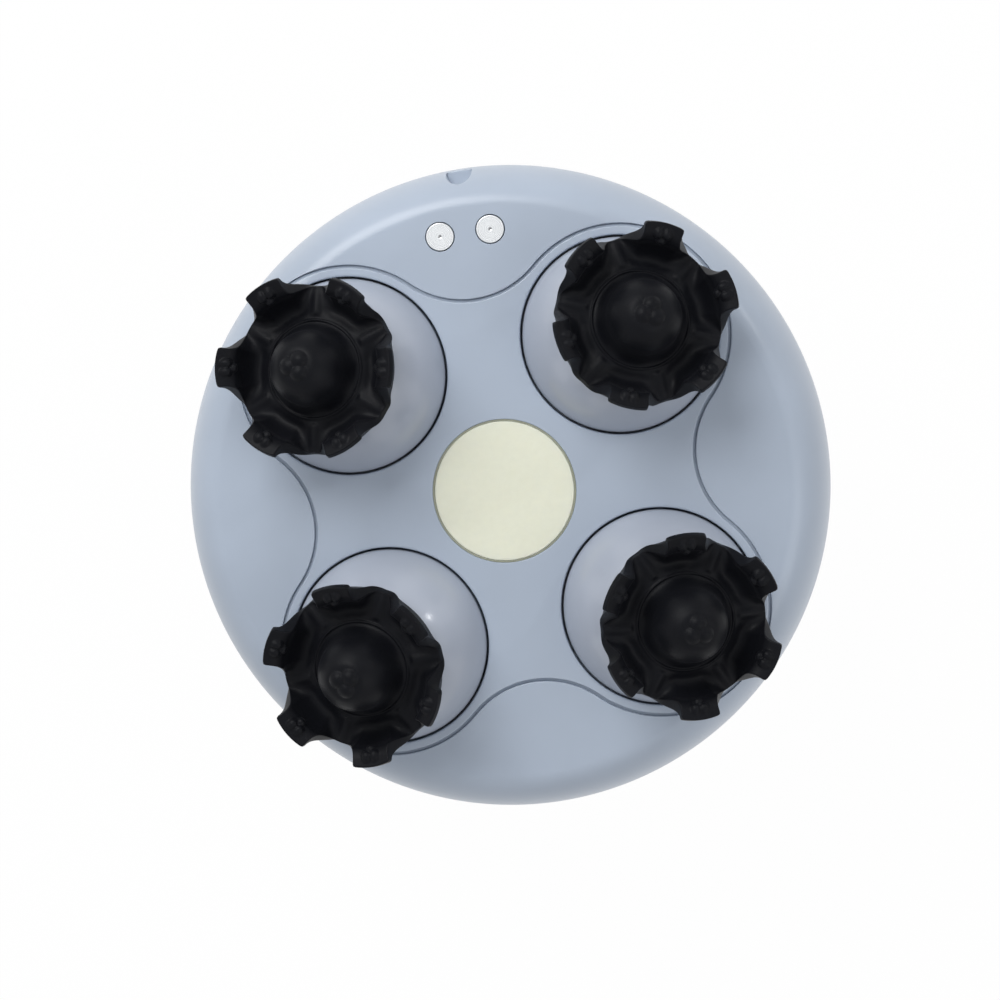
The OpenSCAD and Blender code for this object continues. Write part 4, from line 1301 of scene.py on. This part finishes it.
def notch_outline():
    """The notch from above, clockwise from the outer end of its right side."""
    outer_r = float(shoulder(math.degrees(math.acos((notch_z - wide_z) / shoulder_h)))[0])
    side_y = math.sqrt(outer_r ** 2 - notch_r ** 2)
    half = np.linspace(0, -math.pi, 33)
    corner = math.atan2(side_y, notch_r)
    outer = np.linspace(math.pi - corner, corner, 13)[1:-1]
    side = np.linspace(side_y, notch_y, 6)[:-1]
    return np.concatenate([
        np.stack([np.full(5, notch_r), side], axis=1),
        np.stack([notch_r * np.cos(half), notch_y + notch_r * np.sin(half)], axis=1),
        np.stack([np.full(5, -notch_r), side[::-1]], axis=1),
        np.stack([outer_r * np.cos(outer), outer_r * np.sin(outer)], axis=1),
    ])


def outward(loop):
    """Directions that point out of a clockwise loop in the plane."""
    run = np.roll(loop, -1, axis=0) - np.roll(loop, 1, axis=0)
    run /= np.linalg.norm(run, axis=1)[:, None]
    return np.stack([-run[:, 1], run[:, 0]], axis=1)


def cut_notch(surface):
    """The notch's rim, wall and floor. Returns the ring where it leaves the shoulder."""
    plan = notch_outline()
    rim = over_face(np.column_stack([plan, np.zeros(len(plan))]))
    flat = lay_flat(rim)
    deep = smooth(rim[:, 2] - notch_z, 0, 0.6)
    shallow = 1 - deep

    def drawn_in(share, height):
        """The outline drawn in towards its middle by a share, at a height."""
        middle = np.array([0, notch_y - 0.9])
        return np.column_stack([plan + (middle - plan) * share[:, None], height + 0 * share])

    wide, near = (fold_back(flat + outward(flat) * notch_edge * far) for far in (edge_support, 1.0))
    down = drawn_in(0.12 * shallow, rim[:, 2] - notch_edge * deep)
    foot = drawn_in(0.16 * shallow, notch_z + 0.3 * deep)
    corner = drawn_in(0.19 * shallow, notch_z)
    floor = drawn_in(0.14 + 0.12 * shallow, notch_z)
    rings = [surface.ring(p) for p in (wide, *bend(near, rim, down, 4), *bend(foot, corner, floor, 4))]
    surface.walk(rings)
    surface.fill(rings[-1])
    return rings[0]


print(f"the notch is {2 * notch_r:.1f} mm wide, with its floor at {notch_z:.2f}")

# %% The face, its pocket and its holes
recess_r = 2.37
recess_z = face_z - 1.2
recess_edge = 0.06
stem_r = 1.02
stem_boss_r = 2.4
stem_boss_z = plate_z - 2
light_hole_r = 10.5
pocket_edge = 0.16
pocket_grow = groove_w / 2

front = Surface(lay_flat)
openings = [disc(opening_r, head_xy[n], OPENING_SEGMENTS) for n in HEADS]
through = [*openings, disc(light_hole_r)]

pocket = edge(front, lambda grow: clover(pocket_grow + grow), pocket_edge, 1)
pocket.append(front.ring(clover(pocket_grow, panel_z)))
front.walk(pocket)

recess_rims = []
boss_rings = []
for xy in contact_xy:
    recess = edge(front, disc(recess_r, xy, RECESS_SEGMENTS), recess_edge, 1)
    recess_rims.append(recess[0])
    for r, z in (
        (recess_r, recess_z), (stem_r, recess_z),
        (stem_r, stem_boss_z), (stem_boss_r, stem_boss_z), (stem_boss_r, plate_z),
    ):
        recess.append(front.ring(circle(r, z, xy, RECESS_SEGMENTS)))
    front.walk(recess)
    boss_rings.append(recess[-1])

upper_rims = [front.ring(shape(0, panel_z)) for shape in through]
lower_rims = [front.ring(shape(0, plate_z)) for shape in through]
for upper, lower in zip(upper_rims, lower_rims):
    front.strip(upper, lower)
front.fill(pocket[-1], upper_rims)
print("faces of the pocket and the holes:", len(front.faces))


# %% The shoulder round the pocket and the notch
def shoulder_row(a):
    """A level ring on the front shell's shoulder."""
    r, z = shoulder(a)
    return front.ring(circle(r, z))


def clear_of_rims(point, from_pocket=0.4, from_notch=1.0):
    """True for a point of the shoulder that is well outside the panel's pocket and the notch."""
    lobe = math.hypot(abs(point[0]) - lobe_at, abs(point[1]) - lobe_at)
    notch = notch_r + from_notch
    beside_notch = abs(point[0]) > notch or point[1] < notch_y - notch
    return lobe > lobe_r + pocket_grow + 2 * pocket_edge + from_pocket and beside_notch


notch_rim = cut_notch(front)
rows = [shoulder_row(a) for a in (0, 2, 4, 6, 9, 12, 15, 18, 21, 24, *range(27, 79, 3))]
inside_row = front.ring(circle(flat_r - 0.3, face_z))
loose = [i for row in (inside_row, *rows[:-1]) for i in row if clear_of_rims(front.points[i])]
front.fill(rows[-1], [pocket[0], *recess_rims, notch_rim], loose)
print("faces with the shoulder:", len(front.faces))

# %% The wall, the seal's groove and the underside
bevel = 0.35
seal_mid = body_r - wall / 2 - 0.1
seal_in, seal_out = seal_mid - 0.5, seal_mid + 0.5
seal_deep = 0.6
inner_bend_z = split_z + 9.6
inner_top_r = flat_r + 3
shell_hole_r = 1.17
shell_hole_z = split_z + 9

rim_outline = rounded([
    (body_r, split_z + 2, 0),
    (body_r, split_z + bevel, 0.14),
    (body_r - bevel, split_z, 0.1),
    (seal_out, split_z, 0),
    (seal_out, split_z + seal_deep, 0),
    (seal_in, split_z + seal_deep, 0),
    (seal_in, split_z, 0),
])
wall_rings = [rows[-1]] + [shoulder_row(a) for a in (81, 84, 87, 90)]
wall_rings += [front.ring(circle(r, z)) for r, z in rim_outline]
front.walk(wall_rings)

inner_rings = [
    front.ring(inner_wall(r, z))
    for r, z in ((body_r - wall, split_z), (body_r - wall, inner_bend_z), (inner_top_r, plate_z))
]
front.walk(inner_rings)
screw_rims = [screw_hole(front, xy * screw_at, shell_hole_r, split_z, shell_hole_z) for xy in on_axes]
front.fill(wall_rings[-1], [inner_rings[0], *screw_rims])

gearbox_post_at = 32
gearbox_post_r = 3.0
gearbox_hole_r = 1.27
post_z = flange_z - 0.7
post_rims = [
    screw_post(front, xy * gearbox_post_at, gearbox_post_r, plate_z, post_z, gearbox_hole_r, panel_z + 0.4)
    for xy in on_axes
]
front.fill(inner_rings[-1], [*lower_rims, *boss_rings, *post_rims])

skin_piece("front_skin", front, front_grey, "front_shell")

# %% [markdown]
# ## The clover panel
#
# The panel lies in its pocket with a narrow groove round it, flush with the face and with the shoulder
# where its lobes run out over it. A step on its rim makes the groove's floor, so the groove is shallow.
# The panel has four openings for the turrets and one for the window.

# %% The panel
window_r = 11.15
lip_r = window_r + 1.25
lip_z = panel_z + 1.0
window_hole_r = window_r + 0.35
lip_hole_r = lip_r + 0.1
panel_edge = 0.14
opening_edge = 0.32
step_grow = pocket_grow - 0.03
step_depth = 0.45

panel = Surface(lay_flat)


def groove_floor(outline):
    """An outline put on the floor of the groove round the panel."""
    lowered = over_face(outline)
    lowered[:, 2] = np.maximum(lowered[:, 2] - step_depth, panel_z + 0.05)
    return panel.ring(lowered)


panel_rim = edge(panel, lambda grow: clover(grow - pocket_grow), panel_edge, -1)
panel_rim += [groove_floor(clover(-pocket_grow)), groove_floor(clover(step_grow))]
panel_rim.append(panel.ring(clover(step_grow, panel_z)))
panel.walk(panel_rim)

opening_rims = []
for shape in openings:
    rings = edge(panel, shape, opening_edge, 1, steps=6)
    rings.append(panel.ring(shape(0, panel_z)))
    panel.walk(rings)
    opening_rims.append(rings)

window_rim = edge(panel, disc(window_hole_r), panel_edge, 1)
window_rim += [
    panel.ring(circle(r, z))
    for r, z in ((window_hole_r, lip_z), (lip_hole_r, lip_z), (lip_hole_r, panel_z))
]
panel.walk(window_rim)
panel.fill(panel_rim[0], [window_rim[0], *(rings[0] for rings in opening_rims)])
panel.fill(panel_rim[-1], [window_rim[-1], *(rings[-1] for rings in opening_rims)])
skin_piece("panel_skin", panel, panel_grey, "clover_panel")

# %% [markdown]
# ## The rear shell
#
# The rear shell is a cap that narrows to a waist, swells into a grip for the palm, and ends in a flat
# rest ring round a shallow dish. Three Bezier curves make the outside, and the inside is the same line
# moved in by the wall. Where the cap passes over the four housing screws there are round recesses, closed
# by plugs.

# %% The rear shell's curves
waist_r, grip_r, rest_r = 31.0, 33.5, 24.0
waist_z, grip_z = 0.49 * split_z, 10.5
dish_r, dish_z = 15.0, 1.4
floor_z = dish_z + 2.4
ring_hole_r = 9.02
screw_seat_z = split_z - 4
screw_recess_r = 2.4
screw_clear_r = 1.3
screw_recess_edge = 0.2
recess_margin = 0.9


def bezier(corners, steps):
    """Points on a cubic Bezier curve, and at each the direction into the shell's wall."""
    a, b, c, d = (np.array(p, float) for p in corners)
    t = np.linspace(0, 1, steps + 1)[:, None]
    points = (1 - t) ** 3 * a + 3 * (1 - t) ** 2 * t * b + 3 * (1 - t) * t ** 2 * c + t ** 3 * d
    run = (1 - t) ** 2 * (b - a) + 2 * (1 - t) * t * (c - b) + t ** 2 * (d - c)
    run /= np.linalg.norm(run, axis=1)[:, None]
    return points, np.stack([run[:, 1], -run[:, 0]], axis=1)


cap = [(body_r, split_z), (body_r, split_z - 10), (waist_r, waist_z + 10), (waist_r, waist_z)]
grip = [(waist_r, waist_z), (waist_r, waist_z - 6), (grip_r, grip_z + 6), (grip_r, grip_z)]
heel = [(grip_r, grip_z), (grip_r, grip_z - 7), (rest_r + 6, 0), (rest_r, 0)]
curves = [bezier(cap, 44), bezier(grip, 20), bezier(heel, 18)]
outer_line = np.concatenate([points[k > 0:] for k, (points, _) in enumerate(curves)])
into_wall = np.concatenate([normals[k > 0:] for k, (_, normals) in enumerate(curves)])
inner_line = outer_line + wall * into_wall
print(f"outside: {len(outer_line)} rings, from {outer_line[0]} to {outer_line[-1]}")

# %% The rear shell's outside
rear = Surface()
rim_line = rounded([
    (seal_in, split_z, 0),
    (seal_in, split_z - seal_deep, 0),
    (seal_out, split_z - seal_deep, 0),
    (seal_out, split_z, 0),
    (body_r - bevel, split_z, 0.1),
    (body_r, split_z - bevel, 0.14),
    (body_r, split_z - 1.5, 0),
])
rear_rim = [rear.ring(circle(r, z)) for r, z in rim_line[:-1]]
below_rim = outer_line[outer_line[:, 1] < split_z - 1]
over_recess = np.abs(below_rim[:, 0] - screw_at) < screw_recess_r + recess_margin
first, last = np.flatnonzero(over_recess)[[0, -1]]
upper_rings = [rear.ring(circle(r, z)) for r, z in below_rim[:first + 1]]
middle_rows = [rear.ring(circle(r, z)) for r, z in below_rim[first + 1:last]]
lower_rings = [rear.ring(circle(r, z)) for r, z in below_rim[last:]]
rear.walk(rear_rim + upper_rings)


def over_cap(points):
    """Points put on the outside of the cap."""
    put = np.array(points, float)
    far = np.hypot(put[:, 0], put[:, 1])
    put[:, 2] = np.interp(far, curves[0][0][::-1, 0], curves[0][0][::-1, 1])
    return put


recess_starts = []
screw_ends = []
for xy in on_axes:
    opening = disc(screw_recess_r, xy * screw_at, RECESS_SEGMENTS)
    recess = edge(rear, opening, screw_recess_edge, 1, lift=over_cap, into=1)
    recess_starts.append(recess[0])
    for r, z in ((screw_recess_r, screw_seat_z), (screw_clear_r, screw_seat_z), (screw_clear_r, split_z)):
        recess.append(rear.ring(circle(r, z, xy * screw_at, RECESS_SEGMENTS)))
    rear.walk(recess)
    screw_ends.append(recess[-1])


def clear_of_recess(point):
    """True for a point of the cap that is well outside the recesses."""
    nearest = min(math.hypot(*(np.array(point[:2]) - xy * screw_at)) for xy in on_axes)
    return nearest > screw_recess_r + recess_margin


loose = [i for row in middle_rows for i in row if clear_of_recess(rear.points[i])]
rear.fill(upper_rings[-1], [lower_rings[0], *recess_starts], loose)
print("faces of the cap:", len(rear.faces))

# %% The rest ring, the dish and the inside
dish_line = rounded([
    (rest_r - 2, 0, 0),
    (dish_r, 0, 0.5),
    (dish_r - 2.2, dish_z, 0.8),
    (ring_hole_r, dish_z, 0.15),
    (ring_hole_r, floor_z, 0),
])
dish_rings = [rear.ring(circle(r, z)) for r, z in dish_line]
rear.walk(lower_rings + dish_rings)

inside = inner_line[(inner_line[:, 1] > floor_z + 0.1) & (inner_line[:, 1] < split_z - 0.5)]
low_r = float(np.interp(floor_z, inner_line[::-1, 1], inner_line[::-1, 0]))
inside = np.concatenate([[(body_r - wall, split_z)], inside, [(low_r, floor_z)]])
inside_rings = [rear.ring(inner_wall(r, z, flat=2.2, out=5.6)) for r, z in inside]
rear.walk(inside_rings)
rear.fill(rear_rim[0], [inside_rings[0], *screw_ends])

board_z = box_mm("main_board")[0][2]
board_post_at = 22.5
board_post_r = 2.5
board_hole_r = 0.82
board_hole_z = floor_z + 1
post_starts = [
    screw_post(rear, board_post_at * way, board_post_r, floor_z, board_z, board_hole_r, board_hole_z)
    for way in (np.array([math.cos(a), math.sin(a)]) for a in map(math.radians, (30, 150, 270)))
]
rear.fill(inside_rings[-1], [dish_rings[-1], *post_starts])
skin_piece("rear_skin", rear, rear_grey, "rear_shell")

# %% [markdown]
# ## Window, button and other turned pieces
#
# The window sits inside a thin olive-grey seal. The contacts are turned discs with a dimple in the middle,
# and their faces carry fine rings. The button has a finger hollow, and its light ring lies in the dish
# around it.

# %% Turned pieces
def closed(outline):
    """An outline that runs back to its start."""
    return [*outline, outline[0]]


seal_in_r = window_r + 0.02
seal_out_r = window_r + 0.33
seal_top = face_z - 0.1
window = turn_piece("window_lens", rounded([
    (0, face_z, 0),
    (window_r, face_z, 0.18),
    (window_r, lip_z - 0.1, 0.05),
    (lip_r, lip_z - 0.1, 0.1),
    (lip_r, panel_z, 0.1),
    (0, panel_z, 0),
]), light_lens, segments=OPENING_SEGMENTS)
settle(window, "housing", "light_window")

seal = turn_piece("window_seal_ring", closed(rounded([
    (seal_in_r, lip_z, 0.04),
    (seal_in_r, seal_top, 0.08),
    (seal_out_r, seal_top, 0.08),
    (seal_out_r, lip_z, 0.04),
])), seal_grey, segments=OPENING_SEGMENTS)
settle(seal, "housing", "window_seal")

dimple_r = 0.3
dimple_round = 0.6
groove_pitch = 0.3
groove_depth = 0.006
contact_r = 2.2
contact_stem_r = 1.0
contact_low = plate_z - 3
contact_top = face_z + 0.1
dimple_z = contact_top + math.sqrt(dimple_round ** 2 - dimple_r ** 2)
dimple_lean = math.degrees(math.asin(dimple_r / dimple_round))
grooves = np.arange(dimple_r + 0.1, contact_r - 0.18, groove_pitch / 5)
waves = np.sin(math.pi * (grooves - grooves[0]) / groove_pitch) ** 2
contact_outline = [
    *arc(dimple_round, 180, 180 - dimple_lean, 8, dimple_z),
    *zip(grooves, contact_top - groove_depth * waves),
    *rounded([
        (contact_r - 0.15, contact_top, 0),
        (contact_r, contact_top, 0.08),
        (contact_r, recess_z, 0.08),
        (contact_stem_r, recess_z, 0.05),
        (contact_stem_r, contact_low, 0.1),
        (0, contact_low, 0),
    ])[1:],
]
for k, xy in enumerate(contact_xy, 1):
    contact = turn_piece(f"contact_disc_{k}", contact_outline, contact_metal, xy)
    settle(contact, "housing", "charge_contacts")

# %% The button, its light ring and the plugs
button_low, button_high = box_mm("button_cap")
button_r = 7.5
button_flange_r = (button_high[0] - button_low[0]) / 2
button_flange_z = floor_z + 1.1
finger_r = 40.0
finger_z = button_low[2] + 0.45 - finger_r
hollow_r = math.sqrt(finger_r ** 2 - (button_low[2] - finger_z) ** 2)
hollow_lean = math.degrees(math.asin(hollow_r / finger_r))
button_outline = [
    *arc(finger_r, 0, hollow_lean - 0.6, 14, finger_z),
    *rounded([
        (hollow_r + 0.3, button_low[2], 0),
        (button_r, button_low[2], 0.5),
        (button_r, button_flange_z, 0.1),
        (button_flange_r, button_flange_z, 0.12),
        (button_flange_r, button_high[2], 0.12),
        (0, button_high[2], 0),
    ]),
]
button = turn_piece("button_body", button_outline, button_grey, segments=OPENING_SEGMENTS)
settle(button, "button", "button_cap")

ring_in_r, ring_out_r, ring_flange_r = 7.8, 9.0, 10.4
ring_top = floor_z + 0.8
light_ring = turn_piece("light_ring_body", closed(rounded([
    (ring_in_r, dish_z, 0.15),
    (ring_out_r, dish_z, 0.15),
    (ring_out_r, floor_z, 0.05),
    (ring_flange_r, floor_z, 0.1),
    (ring_flange_r, ring_top, 0.1),
    (ring_in_r, ring_top, 0.1),
])), ring_lens, segments=OPENING_SEGMENTS)
settle(light_ring, "housing", "light_ring")

plug_r = screw_recess_r - 0.05
plug_low, plug_high = (corner[2] for corner in box_mm("screw_plugs"))
plug = turn_piece("plug", rounded([
    (0, plug_low, 0),
    (plug_r, plug_low, 0.3),
    (plug_r, plug_high, 0.1),
    (0, plug_high, 0),
]), plug_rubber, on_axes[0] * screw_at, segments=48)
plug.name = "recess_plugs"
copy_round(plug, len(on_axes), plug_rubber)
settle(plug, "housing", "screw_plugs")

# %% [markdown]
# ## Camera
#
# The camera looks down on the working face from nearly half a metre, a little off the axis. Its place
# comes from the directions of the view: d points from the face to the camera, and right and up span the
# picture. The massager lies turned in the picture, so these directions are turned back by as much.

# %% The camera
turned_by = math.radians(-8.70)
lean_right, lean_up = math.radians(3.642), math.radians(3.615)
camera_far = 476.0
shift_right, shift_up = -0.70, -1.44

d = Vector((math.tan(lean_right), math.tan(lean_up), 1)).normalized()
right = Vector((0, 1, 0)).cross(d).normalized()
up = d.cross(right)
to_object = Matrix.Rotation(turned_by, 3, "Z")
d, right, up = to_object @ d, to_object @ right, to_object @ up

camera_data = bpy.data.cameras.new("camera")
camera_data.lens = 107.2
camera_data.sensor_width = 36.0
camera_data.clip_start = 0.01
camera = bpy.data.objects.new("camera", camera_data)
bpy.context.scene.collection.objects.link(camera)
turned_axes = Matrix((right, up, d)).transposed()
place = Vector((0, 0, face_z)) + camera_far * d + shift_right * right + shift_up * up
camera.matrix_world = Matrix.Translation(place * MM) @ turned_axes.to_4x4()
bpy.context.scene.camera = camera
print("camera at", [round(v, 3) for v in camera.location])

# %% [markdown]
# ## Floor, world and lights
#
# The massager stands on a white floor, and everything round it is white too. Camera, glossy and
# transmission rays see that white as it is, and the floor still takes a share of its real light, so the
# shadow stays. Seen from below, the floor lets the camera through. Overhead the world is a little greyer
# in reflections, as a ceiling is.

# %% The floor
floor_low = -0.05
floor_half = 3000
floor_corners = [
    (x * floor_half, y * floor_half, floor_low) for x, y in ((-1, -1), (1, -1), (1, 1), (-1, 1))
]
floor = make_object("floor", floor_corners, [(0, 1, 2, 3)])


def seen_rays(graph):
    """1 for camera, glossy and transmission rays, and 0 for the rest."""
    seen = graph.node("ShaderNodeLightPath", output="Is Camera Ray")
    for name in ("Is Glossy Ray", "Is Transmission Ray"):
        seen = seen.math("MAXIMUM", seen, graph.node("ShaderNodeLightPath", output=name))
    return seen


def cleared(owner):
    """The graph of a material or world, emptied."""
    owner.use_nodes = True
    owner.node_tree.nodes.clear()
    return Graph(owner.node_tree)


def lead_out(graph, kind, shade):
    """Leads the finished shade to the surface."""
    out = graph.tree.nodes.new(kind)
    graph.tree.links.new(shade.socket, out.inputs["Surface"])


floor_white = bpy.data.materials.new("floor_white")
g = cleared(floor_white)
matte = g.node("ShaderNodeBsdfDiffuse", inputs={"Color": (0.86, 0.86, 0.86, 1.0)})
white = (1.0, 1.0, 1.0, 1.0)
bright = g.node("ShaderNodeEmission", inputs={"Color": white, "Strength": 1.0})
clear = g.node("ShaderNodeBsdfTransparent")
lit = g.node("ShaderNodeMixShader", inputs={0: seen_rays(g) * 0.98, 1: matte, 2: bright})
from_below = g.node("ShaderNodeNewGeometry", output="Backfacing")
from_below = from_below * g.node("ShaderNodeLightPath", output="Is Camera Ray")
lit = g.node("ShaderNodeMixShader", inputs={0: from_below, 1: lit, 2: clear})
lead_out(g, "ShaderNodeOutputMaterial", lit)
floor.data.materials.append(floor_white)

print(f"floor at {floor_low} mm")

# %% The world
world = bpy.data.worlds.new("white_room")
bpy.context.scene.world = world
g = cleared(world)
direction = g.node("ShaderNodeTexCoord", output="Generated")
rise = g.node("ShaderNodeSeparateXYZ", inputs={0: direction}, output="Z")
room = g.node("ShaderNodeValToRGB", {"stops": [
    (0.0, white),
    (0.35, white),
    (0.8, (0.88, 0.89, 0.91, 1.0)),
]}, {"Fac": rise}, "Color")
room = g.node("ShaderNodeMix", {"data_type": "RGBA"}, {
    "Factor": g.node("ShaderNodeLightPath", output="Is Camera Ray"), "A": room, "B": white,
}, "Result")
room_level = 0.53
strength = room_level + seen_rays(g) * (1 - room_level)
sky = g.node("ShaderNodeBackground", inputs={"Color": room, "Strength": strength})
lead_out(g, "ShaderNodeOutputWorld", sky)
print("room light:", room_level)

# %% [markdown]
# A large soft key lamp stands at the upper left of the picture, near enough that the face is brighter on
# that side. A weaker fill faces it, and one small lamp at the right puts a glint on the domes.

# %% Lights
def lamp(name, toward, far, size, power):
    """An area lamp that faces the middle of the face, from a direction (right, up, nearer) of the view."""
    data = bpy.data.lights.new(name, "AREA")
    data.shape = "DISK"
    data.size = size
    data.energy = power
    made = bpy.data.objects.new(name, data)
    bpy.context.scene.collection.objects.link(made)
    aim = (toward[0] * right + toward[1] * up + toward[2] * d).normalized()
    made.rotation_mode = "QUATERNION"
    made.rotation_quaternion = aim.to_track_quat("Z", "Y")
    made.location = Vector((0, 0, face_z * MM)) + aim * far


lamp("key", (-0.55, 0.75, 1.0), far=0.5, size=0.35, power=1.7)
lamp("fill", (0.8, -0.5, 1.0), far=1.1, size=0.8, power=2.0)
lamp("glint", (0.663, 0.481, 0.574), far=0.9, size=0.02, power=0.5)

# %% [markdown]
# ## Finish
#
# The view transform is plain, so colours show as they are written.

# %% The view transform
bpy.context.scene.view_settings.view_transform = "Standard"
